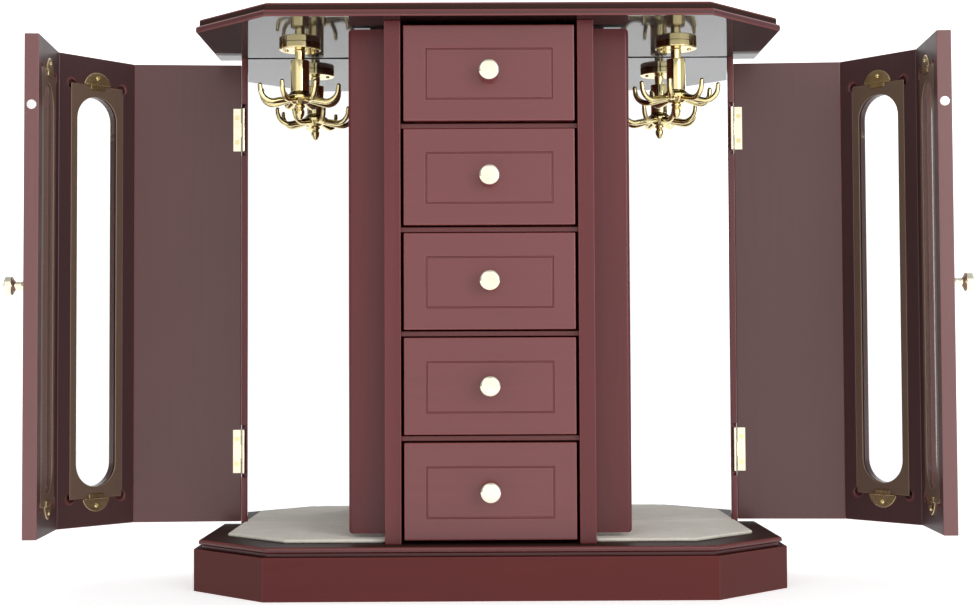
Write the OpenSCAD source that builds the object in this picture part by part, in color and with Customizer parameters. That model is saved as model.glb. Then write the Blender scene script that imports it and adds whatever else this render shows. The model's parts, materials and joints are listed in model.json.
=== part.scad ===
// Jewellery chest: five drawers in a raised centre column, a necklace
// compartment on each side behind a wrap-around glazed door.
// +Z is up, -Y is the front, the origin is at the centre of the underside.
// The doors stand open at rest. A door is drawn closed, about its pin,
// and hang() swings it out and puts it on its side of the chest.

/* [Body] */
// Width of the base and of the top
body_w = 360; // [320:1:450]
// Depth of the base
base_d = 144; // [128:1:180]
// Height of the base
base_h = 31; // [25:0.5:45]
// Clear height between the floor and the top board
clear_h = 310; // [260:1:380]
// How far the top's front edge is behind the base's
top_setback = 3.5; // [0:0.5:12]
// Thickness of the top board
top_t = 8.5; // [7:0.5:14]
// Size of the 45 degree front corners of base and top
chamfer = 48; // [30:1:60]
// Thickness of the plinth boards
plinth_t = 12; // [8:0.5:18]
// Thickness of the floor board
floor_t = 5.5; // [4:0.5:9]
// Thickness of the bottom panel
bottom_t = 3; // [2:0.5:5]
// Thickness of the back panel
back_t = 8; // [7:0.5:14]
// Thickness of a mirror
mirror_t = 3; // [2:0.5:4]
// Thickness of the compartment floor pads
pad_t = 2.5; // [1:0.5:3.5]

/* [Centre column] */
// Outer width of the column
column_w = 124.4; // [100:1:150]
// Thickness of a column wall
column_wall = 9.7; // [7:0.1:14]
// How far the column's front is behind the base's front
column_setback = 16; // [14:0.5:30]
// Width of a pilaster strip
pilaster_w = 22.8; // [14:0.5:30]
// Thickness of a pilaster strip
pilaster_t = 9; // [5:0.5:14]
// How far a pilaster's face is behind the column's front
pilaster_setback = 20.5; // [16:0.5:40]

/* [Drawers] */
// Gap beside a drawer front
side_gap = 1.7; // [0.8:0.1:3]
// Gap between one drawer front and the next
row_gap = 4.7; // [3:0.1:7]
// Gap under the lowest drawer front
low_gap = 2.3; // [1:0.1:5]
// Gap over the highest drawer front
high_gap = 2.9; // [1:0.1:5]
// Thickness of a drawer front
front_t = 10; // [8:0.5:14]
// Thickness of a drawer's sides and back
drawer_side = 5; // [3:0.5:8]
// Thickness of a drawer's bottom
drawer_floor = 3; // [2:0.5:5]
// Height of a drawer's sides
drawer_side_h = 44; // [25:1:46]
// Thickness of the felt in a drawer
felt_t = 1.5; // [0.5:0.5:3]
// Thickness of the shelves between the drawers
shelf_t = 3.2; // [1.5:0.1:3.6]

/* [Doors] */
// Angle that the doors stand open
door_open = 86.5; // [0:0.5:90]
// Thickness of a door panel
door_t = 8.8; // [7:0.1:12]
// Size of the 45 degree corner panel's inner face, seen from the front
corner_c = 41.2; // [36:0.1:50]
// Gap under a door
door_low_gap = 2; // [1:0.5:5]
// Gap over a door
door_high_gap = 4; // [1:0.5:6]
// Gap between a closed door's edge and the column
door_end_gap = 1.2; // [0.8:0.1:3]
// How far a closed door stands in front of the column
door_proud = 1.5; // [0:0.5:4]
// Width of a window's opening
window_w = 30; // [20:0.5:32]
// Height of a window's opening
window_h = 253; // [150:1:256]

/* [Hardware] */
// Diameter of a knob's head
knob_d = 12; // [8:0.5:16]
// How far a knob stands out
knob_h = 12.5; // [9:0.5:18]
// Height of a hinge
hinge_h = 28.5; // [20:0.5:40]
// Diameter of a hinge's knuckle
knuckle_d = 3; // [2.8:0.1:4]
// Diameter of a door magnet
magnet_d = 6; // [4:0.5:7]
// Distance of a carousel's axis from the mirror
carousel_y = 48; // [40:0.5:56]
// Distance of a carousel's axis from the chest's centre
carousel_x = 120; // [114:0.5:124]
// Radius of the circle of hook tips
hook_reach = 26.5; // [20:0.5:28]
// Diameter of a hook's rod, which tapers to its tip
hook_d = 4; // [3:0.1:4.5]

/* [Hidden] */
$fn = 48;
DRAWERS = 5;
HOOKS = 8;
SIDES = ["left", "right"];

// Colours
cherry = [0.38, 0.13, 0.14];
raw_wood = [0.62, 0.44, 0.33];
felt = [0.88, 0.84, 0.76];
silver = [0.82, 0.86, 0.88];
brass = [0.86, 0.76, 0.42];
bronze = [0.36, 0.24, 0.19];
clear = [0.80, 0.90, 0.92, 0.4];
nickel = [0.85, 0.85, 0.87];

// Fits and small clearances
cut = 0.01;          // a cut runs this far past a face
run_fit = 0.05;      // radial clearance of a turning or pinned fit
loose = 0.2;         // clearance round a pane, a mirror or a pad

// Edges of the base and the top
lip_in = 2.8;        // the floor board's lip, behind the plinth's face
neck_in = 5;         // the neck under the lip, behind the plinth's face
neck_share = 0.47;   // the neck's share of the floor board's thickness
step_in = 2.2;       // the top board's upper half, behind its lower half
step_share = 0.48;   // the lower half's share of the top's thickness
pad_in = 2.5;        // the floor pads, inside the closed doors

// Hinge: the pin is inside the closed door's inner face
knuckle_r = knuckle_d / 2;
leaf_t = 0.8;
leaf_w = 6.9;                     // from the pin to the leaf's edge
leaf_off = 0.5;                   // from the pin's plane to the body leaf
leaf_root = knuckle_r + 0.4;      // the leaf is notched round the other knuckles
joint_gap = 0.15;                 // between two knuckles
pin_r = 0.7;
pin_inset = 17;                   // the pin, from the chest's side
pin_back = back_t - 1;            // the pin, in front of the chest's back
door_end = knuckle_r + 0.2;       // from the pin to the door's rear end
hinge_high = 29.5;                // under the door's top
hinge_low = 32;                   // over the door's bottom
hinge_notch = 3;                  // the back panel's notch, past the hinge's ends
rim_w = knuckle_r + 1;            // the back panel's rim starts this far inside the pin

// Screws
screw_r = 0.7;
screw_head_r = 1.5;
screw_head_h = 0.75;
slot_w = 0.35;
slot_deep = 0.3;
leaf_screw_l = 5.5;
leaf_screw_gap = 16.5;            // between a leaf's two screws
leaf_screw_x = 4.4;               // from the pin
clip_screw_l = 4.5;
flange_screw_l = 9;
flange_screw_x = 8.5;             // from the carousel's axis

// Places worked out from the sizes above
door_rear = (knuckle_r + door_t) * sin(door_open) - door_end * cos(door_open);
y_back = (base_d - max(0, door_rear - pin_back)) / 2;
y_front = y_back - base_d;
y_column = y_front + column_setback;
y_mirror = y_back - back_t;
z_floor = base_h;
z_top = base_h + clear_h;
pin_x = body_w / 2 - pin_inset;
pin_y = y_back - pin_back;
back_half = pin_x + leaf_off + leaf_t;
column_in = column_w / 2 - column_wall;
door_z = z_floor + door_low_gap;
door_h = clear_h - door_low_gap - door_high_gap;
side_len = pin_y - (y_column - door_proud) - corner_c - door_t;
front_len = pin_x + knuckle_r - corner_c - column_w / 2 - door_end_gap;
corner_len = corner_c * sqrt(2);
mitre = door_t * tan(22.5);

// Pilasters
pilaster_low = 4.4;               // gap under a pilaster
pilaster_high = 1.3;              // gap over it
pilaster_round = 2.4;             // radius of its outer edges

// Drawers
drawer_h = (clear_h - low_gap - high_gap - (DRAWERS - 1) * row_gap) / DRAWERS;
drawer_pitch = drawer_h + row_gap;
drawer_w = 2 * (column_in - side_gap);
drawer_back_gap = 3;
drawer_l = y_mirror - y_column - front_t - drawer_back_gap;
drawer_rise = 1;                  // the box's bottom, over the front's bottom
shelf_back = 6;                   // the shelves' edges, behind the column's front
groove_side = 12.9;               // from a drawer front's side to its groove
groove_high = 13.8;
groove_low = 12.6;
groove_w = 1.1;
groove_deep = 0.9;
spigot_r = 1.65;
spigot_l = 4.2;

// Windows
pane_w = window_w + 10;
pane_h = window_h + 15;
pane_t = 2;
mat_t = 0.8;
rebate_deep = pane_t + mat_t;
dogbone_r = 3;
clip_w = 21;
clip_h = 8.5;
clip_t = 0.9;
clip_tab = [11, 3];               // the tab that covers the mat's edge
clip_dimple_x = 6.5;
door_knob_edge = 8;               // from the door's edge to its knob's centre
magnet_z = 43;                    // under the door's top
magnet_l = 3;
catch_r = 4;
catch_t = 0.6;
catch_back = 2;                   // its centre, behind the magnet's axis

// Carousel, downwards from the top board's underside
flange_r = 13.25;
flange_t = 4.2;
neck_r = 3;
neck_z = 10.4;
spindle_r = 2;
spindle_z = 44;
sleeve_r = 6;
sleeve_z = neck_z + loose;
hub_z = 39;
finial_z = hub_z + loose;
finial_low = 48.6;
finial_r = 2.9;
hook_bend = 8;
hook_low = 37.7;                  // the rod's axis at its lowest
hook_tip = 26.5;
hook_tip_r = 1.4;
hook_slope = 12;                  // slope of the arm at the hub, in degrees
hook_root = 3.8;                  // from the carousel's axis to the arm's end
rod_in = 0.3;                     // a hook's straight ends start this far in its bend
rod_step = 0.05;                  // and are this much thinner, in radius
hook_turn = [-18, -15.5];         // how far each carousel stands turned

// ---- helpers ----

module both_sides() {
  children();
  mirror([1, 0, 0]) children();
}

module on_side(s) {
  if (s == "left") mirror([1, 0, 0]) children();
  else children();
}

// Outline with 45 degree front corners, inset on its sides and front
function outline(front, inset) =
  let (x = body_w / 2 - inset, y = front + inset,
       c = chamfer - (2 - sqrt(2)) * inset)
  [[-x, y_back], [x, y_back], [x, y + c], [x - c, y], [c - x, y], [-x, y + c]];

module board(front, inset, z, t) {
  translate([0, 0, z]) linear_extrude(t) polygon(outline(front, inset));
}

// The plinth's inner outline, which stops in front of the back rail
function plinth_inner() =
  [for (p = outline(y_front, plinth_t)) [p[0], min(p[1], y_back - plinth_t)]];

// One plinth board, between corners a and b of the outline
module plinth_board(a, b) {
  outer = outline(y_front, 0);
  inner = plinth_inner();
  color(cherry) linear_extrude(base_h - floor_t)
    polygon([outer[a], outer[b], inner[b], inner[a]]);
}

// Low end of each of a door's two hinges
function hinge_ends() = [door_z + hinge_low, door_z + door_h - hinge_high - hinge_h];

// Each place of a hinge, with the pin's axis at the origin
module at_hinges() {
  for (z = hinge_ends()) translate([0, 0, z]) children();
}

module at_leaf_screws() {
  for (d = [-1, 1]) translate([0, 0, (hinge_h + d * leaf_screw_gap) / 2]) children();
}

// Countersunk screw: its face is at the origin and it points along -Z
module flat_screw(length) {
  difference() {
    union() {
      translate([0, 0, -screw_head_h])
        cylinder(r1 = screw_r, r2 = screw_head_r - run_fit, h = screw_head_h);
      translate([0, 0, -length]) cylinder(r = screw_r, h = length);
    }
    cross_slot(0);
  }
}

// Pan-head screw: the underside of its head is at the origin
module pan_screw(length) {
  difference() {
    union() {
      cylinder(r1 = screw_head_r, r2 = screw_head_r * 0.6, h = screw_head_h);
      translate([0, 0, -length]) cylinder(r = screw_r, h = length + cut);
    }
    cross_slot(screw_head_h);
  }
}

module cross_slot(z) {
  for (a = [0, 90]) rotate([0, 0, a]) translate([-screw_head_r / 2, -slot_w / 2, z - slot_deep])
    cube([screw_head_r, slot_w, slot_deep + cut]);
}

module flat_screw_hole(length) {
  translate([0, 0, -leaf_t]) cylinder(r1 = screw_r + run_fit, r2 = screw_head_r, h = leaf_t);
  screw_hole(length);
}

module screw_hole(length) {
  translate([0, 0, -length - loose]) cylinder(r = screw_r + run_fit, h = length + loose + cut);
}

// ---- base, top and back ----

module plinth_rails() {
  plinth_board(3, 4);
  plinth_board(0, 1);
}

module plinth_corners() {
  plinth_board(2, 3);
  plinth_board(4, 5);
}

module plinth_sides() {
  plinth_board(1, 2);
  plinth_board(5, 0);
}

module bottom_panel() {
  color(raw_wood) linear_extrude(bottom_t) polygon(plinth_inner());
}

module floor_board() {
  neck = floor_t * neck_share;
  color(cherry) {
    board(y_front, neck_in, z_floor - floor_t, neck);
    board(y_front, lip_in, z_floor - floor_t + neck, floor_t - neck);
  }
}

module floor_pads() {
  x0 = column_w / 2 + loose;
  x1 = pin_x + knuckle_r - pad_in;
  y0 = pin_y - side_len - corner_c + pad_in;
  c = corner_c - (2 - sqrt(2)) * pad_in;
  color(felt) both_sides() translate([0, 0, z_floor]) linear_extrude(pad_t)
    polygon([[x0, y_mirror - loose], [x1, y_mirror - loose], [x1, y0 + c], [x1 - c, y0], [x0, y0]]);
}

module top_board() {
  front = y_front + top_setback;
  lower = top_t * step_share;
  color(cherry) difference() {
    union() {
      board(front, 0, z_top, lower);
      board(front, step_in, z_top + lower, top_t - lower);
    }
    at_flange_screws() screw_hole(flange_screw_l);
  }
}

module back_panel() {
  color(cherry) difference() {
    translate([-back_half, y_mirror, z_floor]) cube([2 * back_half, back_t, clear_h]);
    both_sides() {
      translate([column_w / 2, y_mirror - cut, z_floor - cut])
        cube([pin_x - rim_w - column_w / 2, mirror_t + cut, clear_h + 2 * cut]);
      translate([pin_x, pin_y, 0]) at_hinges() hinge_cut();
    }
  }
}

// Notch for the knuckle, mortise for the body leaf, and its screw holes
module hinge_cut() {
  translate([-leaf_root, y_mirror - pin_y - cut, -hinge_notch])
    cube([2 * leaf_root, pin_y - y_mirror + leaf_root + cut, hinge_h + 2 * hinge_notch]);
  translate([leaf_off, leaf_root, 0]) cube([leaf_t + cut, leaf_w - leaf_root + cut, hinge_h]);
  body_leaf_screw_places() screw_hole(leaf_screw_l);
}

module back_mirrors() {
  color(silver) both_sides()
    translate([column_w / 2 + loose, y_mirror, z_floor + loose])
      cube([pin_x - rim_w - column_w / 2 - 2 * loose, mirror_t, clear_h - 2 * loose]);
}

// ---- centre column ----

module column_walls() {
  color(cherry) both_sides() difference() {
    translate([column_in, y_column, z_floor]) cube([column_wall, y_mirror - y_column, clear_h]);
    at_catch() cylinder(r = catch_r + run_fit, h = catch_t + cut);
  }
}

// A catch plate's inner face, with Z out of the column's right wall
module at_catch() {
  translate([column_w / 2 - catch_t, pin_y - side_len - corner_c - door_t / 2 + catch_back,
             door_z + door_h - magnet_z])
    rotate([0, 90, 0]) children();
}

module drawer_shelves() {
  color(cherry) for (i = [1:DRAWERS - 1])
    translate([-column_in, y_column + shelf_back,
               z_floor + low_gap + i * drawer_pitch - (row_gap + shelf_t) / 2])
      cube([2 * column_in, y_mirror - y_column - shelf_back, shelf_t]);
}

// A strip stands off the floor, with its outer edges rounded
module pilasters() {
  h = clear_h - pilaster_low - pilaster_high;
  color(cherry) both_sides()
    translate([column_w / 2, y_column + pilaster_setback, z_floor + pilaster_low])
      intersection() {
        linear_extrude(h) half_round([pilaster_w, pilaster_t]);
        translate([0, pilaster_t, 0]) rotate([90, 0, 0])
          linear_extrude(pilaster_t) half_round([pilaster_w, h]);
      }
}

// A rectangle from the origin whose two corners on +X are rounded
module half_round(size) {
  r = pilaster_round;
  square([size[0] - r, size[1]]);
  translate([0, r]) square([size[0], size[1] - 2 * r]);
  for (y = [r, size[1] - r]) translate([size[0] - r, y]) circle(r);
}

module catch_plates() {
  color(nickel) both_sides() at_catch() cylinder(r = catch_r, h = catch_t);
}

// ---- drawers ----

module at_drawer(i) {
  translate([0, y_column, z_floor + low_gap + (DRAWERS - i) * drawer_pitch]) children();
}

module drawer_front(i) {
  gx = drawer_w - 2 * groove_side;
  gz = drawer_h - groove_high - groove_low;
  color(cherry) at_drawer(i) difference() {
    translate([-drawer_w / 2, 0, 0]) cube([drawer_w, front_t, drawer_h]);
    translate([0, groove_deep, groove_low + gz / 2]) rotate([90, 0, 0])
      linear_extrude(groove_deep + cut) difference() {
        square([gx, gz], center = true);
        square([gx - 2 * groove_w, gz - 2 * groove_w], center = true);
      }
    translate([0, -cut, drawer_h / 2]) rotate([-90, 0, 0])
      cylinder(r = spigot_r + run_fit, h = spigot_l + loose);
  }
}

module drawer_box(i) {
  x = drawer_w / 2;
  color(raw_wood) at_drawer(i) translate([0, front_t, drawer_rise]) difference() {
    translate([-x, 0, 0]) cube([drawer_w, drawer_l, drawer_side_h]);
    translate([drawer_side - x, -cut, drawer_floor])
      cube([drawer_w - 2 * drawer_side, drawer_l - drawer_side + cut, drawer_side_h]);
  }
}

module drawer_felt(i) {
  x = drawer_w / 2 - drawer_side - loose;
  color(felt) at_drawer(i) translate([-x, front_t + loose, drawer_rise + drawer_floor])
    cube([2 * x, drawer_l - drawer_side - 2 * loose, felt_t]);
}

module drawer_knob(i) {
  at_drawer(i) translate([0, 0, drawer_h / 2]) rotate([90, 0, 0]) knob();
}

// Turned knob: its foot is at the origin and it points along +Z
module knob() {
  r = knob_d / 2;
  color(brass) rotate_extrude() polygon([
    [0, -spigot_l], [spigot_r, -spigot_l], [spigot_r, 0], [3.5, 0], [3.4, 1], [2.9, 2.2],
    [2.7, 3.6], [2.9, knob_h - 6.6], [3.7, knob_h - 5.4], [r - 1, knob_h - 4.5],
    [r - 0.25, knob_h - 3.9], [r, knob_h - 3], [r, knob_h - 1.9], [r - 0.25, knob_h - 1.2],
    [r - 0.9, knob_h - 0.6], [r - 2, knob_h - 0.25], [r / 3, knob_h - 0.03], [0, knob_h]]);
}

// ---- doors, drawn closed with the pin's axis at the origin ----

module hang(s) {
  on_side(s) translate([pin_x, pin_y, 0]) rotate([0, 0, door_open]) children();
}

module door_panel(points) {
  translate([0, 0, door_z]) linear_extrude(door_h) polygon(points);
}

// Inner and outer corner points of the three panels
function a_in() = [knuckle_r, -side_len];
function a_out() = [knuckle_r + door_t, -side_len - mitre];
function b_in() = [knuckle_r - corner_c, -side_len - corner_c];
function b_out() = [knuckle_r - corner_c + mitre, -side_len - corner_c - door_t];
function end_in() = [b_in()[0] - front_len, b_in()[1]];

// A panel's own axes: X along it from its first inner corner, Y up from the
// door's bottom, Z out of its inner face into the compartment
module on_corner() {
  translate([a_in()[0], a_in()[1], door_z]) rotate([90, 0, 225]) children();
}

module on_front() {
  translate([b_in()[0], b_in()[1], door_z]) rotate([90, 0, 180]) children();
}

module at_windows() {
  on_corner() translate([corner_len / 2, door_h / 2, 0]) children();
  on_front() translate([front_len / 2, door_h / 2, 0]) children();
}

module stadium(w, h) {
  square([w, h - w], center = true);
  for (d = [-1, 1]) translate([0, d * (h - w) / 2]) circle(d = w);
}

module window_cut() {
  translate([0, 0, -door_t - cut]) linear_extrude(door_t + 2 * cut) stadium(window_w, window_h);
  translate([0, 0, -rebate_deep]) linear_extrude(rebate_deep + cut) {
    square([pane_w, pane_h], center = true);
    for (x = [-1, 1], y = [-1, 1])
      translate([x * (pane_w / 2 - 1), y * (pane_h / 2 - 1)]) circle(dogbone_r);
  }
  at_clips() screw_hole(clip_screw_l);
}

// Each clip's screw, above and below a window
module at_clips() {
  for (d = [-1, 1]) translate([0, d * (pane_h / 2 + clip_h * 0.53), 0]) children();
}

module side_panel(s) {
  color(cherry) hang(s) difference() {
    door_panel([[knuckle_r, -door_end], a_in(), a_out(), [knuckle_r + door_t, -door_end]]);
    door_leaf_screw_places() screw_hole(leaf_screw_l);
  }
}

module corner_panel(s) {
  color(cherry) hang(s) difference() {
    door_panel([a_in(), b_in(), b_out(), a_out()]);
    on_corner() translate([corner_len / 2, door_h / 2, 0]) window_cut();
  }
}

module front_panel(s) {
  color(cherry) hang(s) difference() {
    door_panel([b_in(), end_in(), end_in() - [0, door_t], b_out()]);
    on_front() {
      translate([front_len / 2, door_h / 2, 0]) window_cut();
      translate([front_len - door_knob_edge, door_h / 2, -door_t - cut])
        cylinder(r = spigot_r + run_fit, h = spigot_l + loose);
      at_magnet() translate([0, 0, -loose])
        cylinder(r = magnet_d / 2 + run_fit, h = magnet_l + loose + cut);
    }
  }
}

// The magnet's inner end, with Z out of the panel's free edge
module at_magnet() {
  translate([front_len - magnet_l, door_h - magnet_z, -door_t / 2]) rotate([0, 90, 0]) children();
}

module window_panes(s) {
  color(clear) hang(s) at_windows() translate([0, 0, -rebate_deep]) linear_extrude(pane_t)
    square([pane_w - 2 * loose, pane_h - 2 * loose], center = true);
}

module window_mats(s) {
  color(bronze) hang(s) at_windows() translate([0, 0, -mat_t]) linear_extrude(mat_t)
    difference() {
      square([pane_w - 2 * loose, pane_h - 2 * loose], center = true);
      stadium(window_w, window_h);
    }
}

// A clip is a half disc whose tab holds the mat and the pane
module window_clips(s) {
  color(brass) hang(s) at_windows() for (a = [0, 180]) rotate([0, 0, a])
    translate([0, pane_h / 2, 0]) window_clip();
}

module window_clip() {
  r = (pow(clip_w / 2, 2) + pow(clip_h, 2)) / (2 * clip_h);
  difference() {
    linear_extrude(clip_t) {
      intersection() {
        translate([0, clip_h - r]) circle(r);
        translate([-clip_w / 2, 0]) square([clip_w, clip_h]);
      }
      translate([-clip_tab[0] / 2, -clip_tab[1]]) square([clip_tab[0], clip_tab[1] + cut]);
    }
    translate([0, clip_h * 0.53, clip_t]) screw_hole(clip_t);
    for (x = [-1, 1]) translate([x * clip_dimple_x, clip_h * 0.3, clip_t - slot_deep])
      cylinder(r = 0.6, h = slot_deep + cut);
  }
}

module door_screws(s) {
  color(brass) hang(s) {
    at_windows() at_clips() translate([0, 0, clip_t]) pan_screw(clip_t + clip_screw_l);
    door_leaf_screw_places() flat_screw(leaf_screw_l);
  }
}

module door_knob(s) {
  hang(s) on_front() translate([front_len - door_knob_edge, door_h / 2, -door_t])
    rotate([180, 0, 0]) knob();
}

module door_magnet(s) {
  color(nickel) hang(s) on_front() at_magnet() cylinder(r = magnet_d / 2, h = magnet_l);
}

// ---- hinges ----

// The places where a leaf's screws go in, with Z out of the leaf's face
module door_leaf_screw_places() {
  at_hinges() at_leaf_screws() translate([knuckle_r - leaf_t, -leaf_screw_x, 0])
    rotate([0, -90, 0]) children();
}

module body_leaf_screw_places() {
  at_leaf_screws() translate([leaf_off + leaf_t, leaf_screw_x, 0])
    rotate([0, 90, 0]) children();
}

// Length and start of knuckle k of three
function knuckle_l() = (hinge_h - 2 * joint_gap) / 3;
function knuckle_z(k) = k * (knuckle_l() + joint_gap);

// A leaf from x0 to x0 + leaf_t, on the side dir of the pin, with knuckles ks
module leaf(x0, dir, ks) {
  difference() {
    union() {
      translate([x0, dir > 0 ? leaf_root : -leaf_w, 0]) cube([leaf_t, leaf_w - leaf_root, hinge_h]);
      for (k = ks) translate([0, 0, knuckle_z(k)]) {
        cylinder(r = knuckle_r, h = knuckle_l());
        translate([x0, dir > 0 ? 0 : -leaf_root - cut, 0])
          cube([min(leaf_t, knuckle_r - x0), leaf_root + cut, knuckle_l()]);
      }
    }
    translate([0, 0, -cut]) cylinder(r = pin_r + run_fit, h = hinge_h + 2 * cut);
  }
}

module hinge_body_leaves() {
  color(brass) both_sides() translate([pin_x, pin_y, 0]) at_hinges() difference() {
    leaf(leaf_off, 1, [0, 2]);
    body_leaf_screw_places() flat_screw_hole(leaf_t);
  }
}

module hinge_door_leaves(s) {
  color(brass) hang(s) difference() {
    at_hinges() leaf(knuckle_r - leaf_t, -1, [1]);
    door_leaf_screw_places() flat_screw_hole(leaf_t);
  }
}

module hinge_pins() {
  color(brass) both_sides() translate([pin_x, pin_y, 0]) at_hinges()
    cylinder(r = pin_r, h = hinge_h);
}

// ---- carousels ----

module at_carousels() {
  both_sides() translate([carousel_x, y_mirror - carousel_y, z_top]) children();
}

// Each flange screw's face, with Z down out of the flange
module at_flange_screws() {
  at_carousels() for (d = [-1, 1]) translate([d * flange_screw_x, 0, -flange_t])
    rotate([180, 0, 0]) children();
}

module fixing_screws() {
  color(brass) {
    at_flange_screws() pan_screw(flange_screw_l);
    both_sides() translate([pin_x, pin_y, 0]) at_hinges() body_leaf_screw_places()
      flat_screw(leaf_screw_l);
  }
}

module carousel_spindles() {
  color(brass) difference() {
    at_carousels() rotate_extrude() polygon([
      [0, 0], [flange_r, 0], [flange_r, 0.5 - flange_t], [flange_r - 0.5, -flange_t],
      [neck_r + 0.6, -flange_t], [neck_r, -flange_t - 0.6], [neck_r, -neck_z],
      [spindle_r, -neck_z], [spindle_r, -spindle_z], [0, -spindle_z]]);
    at_flange_screws() screw_hole(flange_screw_l);
  }
}

module carousel_finials() {
  b = spindle_r + run_fit;
  color(brass) at_carousels() rotate_extrude() polygon([
    [b, -finial_z], [finial_r + 0.3, -finial_z], [finial_r + 0.3, -finial_z - 1.2],
    [finial_r - 0.7, -finial_z - 2], [finial_r, -finial_z - 3.4], [finial_r - 0.1, -finial_z - 5.4],
    [finial_r - 0.8, -finial_z - 7.4], [finial_r - 1.9, -finial_low + 0.4], [0, -finial_low],
    [0, -spindle_z - loose], [b, -spindle_z - loose]]);
}

module carousel(s) {
  b = spindle_r + run_fit;
  turn = hook_turn[s == "left" ? 0 : 1];
  color(brass) translate([(s == "left" ? -1 : 1) * carousel_x, y_mirror - carousel_y, z_top]) {
    rotate_extrude() polygon([
      [b, -sleeve_z], [sleeve_r - 0.4, -sleeve_z], [sleeve_r, -sleeve_z - 0.4],
      [sleeve_r, -31], [6.6, -32.2], [8.6, -33.2], [9, -34], [8.4, -35.4], [6.6, -37.2],
      [4.4, -38.6], [3.6, -hub_z], [b, -hub_z]]);
    for (i = [0:HOOKS - 1]) rotate([0, 0, -90 + turn + i * 360 / HOOKS]) hook();
  }
}

// A round rod that leaves the hub, dips and turns up to a rounded tip.
// Its straight ends start inside the bend and are a little thinner than it.
module hook() {
  cx = hook_reach - hook_bend;
  cz = hook_bend - hook_low;
  root_x = cx - hook_bend * sin(hook_slope);
  r = hook_d / 2;
  translate([cx, 0, cz]) rotate([90, 0, 0]) rotate([0, 0, -90 - hook_slope])
    rotate_extrude(angle = 90 + hook_slope) translate([hook_bend, 0]) circle(r);
  translate([root_x, 0, cz - hook_bend * cos(hook_slope)]) rotate([0, hook_slope - 90, 0])
    translate([0, 0, -rod_in])
      cylinder(r = r - rod_step, h = (root_x - hook_root) / cos(hook_slope) + rod_in);
  translate([hook_reach, 0, cz - rod_in])
    cylinder(r1 = r - rod_step, r2 = hook_tip_r, h = -hook_tip - hook_tip_r - cz + rod_in);
  translate([hook_reach, 0, -hook_tip - hook_tip_r]) sphere(hook_tip_r);
}

plinth_rails();
plinth_corners();
plinth_sides();
bottom_panel();
floor_board();
floor_pads();
top_board();
back_panel();
back_mirrors();
column_walls();
drawer_shelves();
pilasters();
catch_plates();
hinge_body_leaves();
hinge_pins();
fixing_screws();
carousel_spindles();
carousel_finials();
for (i = [1:DRAWERS]) {
  drawer_front(i);
  drawer_box(i);
  drawer_felt(i);
  drawer_knob(i);
}
for (s = SIDES) {
  side_panel(s);
  corner_panel(s);
  front_panel(s);
  window_panes(s);
  window_mats(s);
  window_clips(s);
  door_screws(s);
  door_knob(s);
  door_magnet(s);
  hinge_door_leaves(s);
  carousel(s);
}
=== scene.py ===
# %% [markdown]
# # A lacquered jewellery chest with drawers
# The real chest is made of thin boards with a dark cherry stain under a satin lacquer. Five
# drawers fill a raised column in the middle. On each side a wrap-around door with two narrow
# windows stands open and shows a mirror and a brass necklace carousel.
# The measured model arrives as a frame of plain boards and fittings. This script gives each of
# them the edges, curves and finishes that a maker would, and leaves every place and size alone.

# %% Load the frame
import json
import math

import bmesh
import bpy
import numpy as np
from mathutils import Matrix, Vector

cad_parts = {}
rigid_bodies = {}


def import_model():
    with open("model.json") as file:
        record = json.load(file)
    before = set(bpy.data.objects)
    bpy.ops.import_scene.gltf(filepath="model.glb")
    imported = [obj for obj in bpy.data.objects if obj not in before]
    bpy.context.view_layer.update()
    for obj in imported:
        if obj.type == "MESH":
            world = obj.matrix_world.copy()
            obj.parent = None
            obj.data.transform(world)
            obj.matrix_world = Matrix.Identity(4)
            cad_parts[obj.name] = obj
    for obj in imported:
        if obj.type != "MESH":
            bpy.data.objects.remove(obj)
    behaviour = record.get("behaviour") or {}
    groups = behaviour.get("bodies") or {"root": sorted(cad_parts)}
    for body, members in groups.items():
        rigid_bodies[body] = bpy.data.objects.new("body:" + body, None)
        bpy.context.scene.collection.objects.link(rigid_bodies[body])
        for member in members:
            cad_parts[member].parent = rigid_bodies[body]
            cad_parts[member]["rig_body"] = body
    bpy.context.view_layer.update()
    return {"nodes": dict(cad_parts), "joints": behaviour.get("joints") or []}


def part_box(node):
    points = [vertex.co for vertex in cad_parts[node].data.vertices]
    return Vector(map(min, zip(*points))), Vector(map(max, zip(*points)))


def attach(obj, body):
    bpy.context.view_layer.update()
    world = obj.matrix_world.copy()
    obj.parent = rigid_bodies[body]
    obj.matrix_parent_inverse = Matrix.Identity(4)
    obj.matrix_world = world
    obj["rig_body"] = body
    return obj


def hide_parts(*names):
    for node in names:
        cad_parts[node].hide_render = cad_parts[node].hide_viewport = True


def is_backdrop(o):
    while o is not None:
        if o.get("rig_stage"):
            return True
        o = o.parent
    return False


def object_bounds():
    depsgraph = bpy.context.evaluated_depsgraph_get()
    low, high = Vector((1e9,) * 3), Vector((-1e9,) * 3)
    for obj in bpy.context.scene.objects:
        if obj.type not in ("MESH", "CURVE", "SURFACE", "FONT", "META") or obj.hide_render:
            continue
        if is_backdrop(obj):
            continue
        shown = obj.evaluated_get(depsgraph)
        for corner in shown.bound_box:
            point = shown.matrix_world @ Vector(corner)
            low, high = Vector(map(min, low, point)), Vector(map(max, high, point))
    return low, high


MM = 0.001
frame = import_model()
nodes = frame["nodes"]

# %% [markdown]
# ## The camera
# A low, nearly level view from one metre shows the chest as it stands on a dressing table.
# The camera is turned by a small pitch, yaw and roll, and its lens is a little long, so
# upright lines stay upright without any shift.

# %% Camera
EYE = np.array([-5.7, -1004, 139.3]) * MM
PITCH, YAW, ROLL = np.radians([2.04, 0.28, -0.26])
LENS = 59.2


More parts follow.
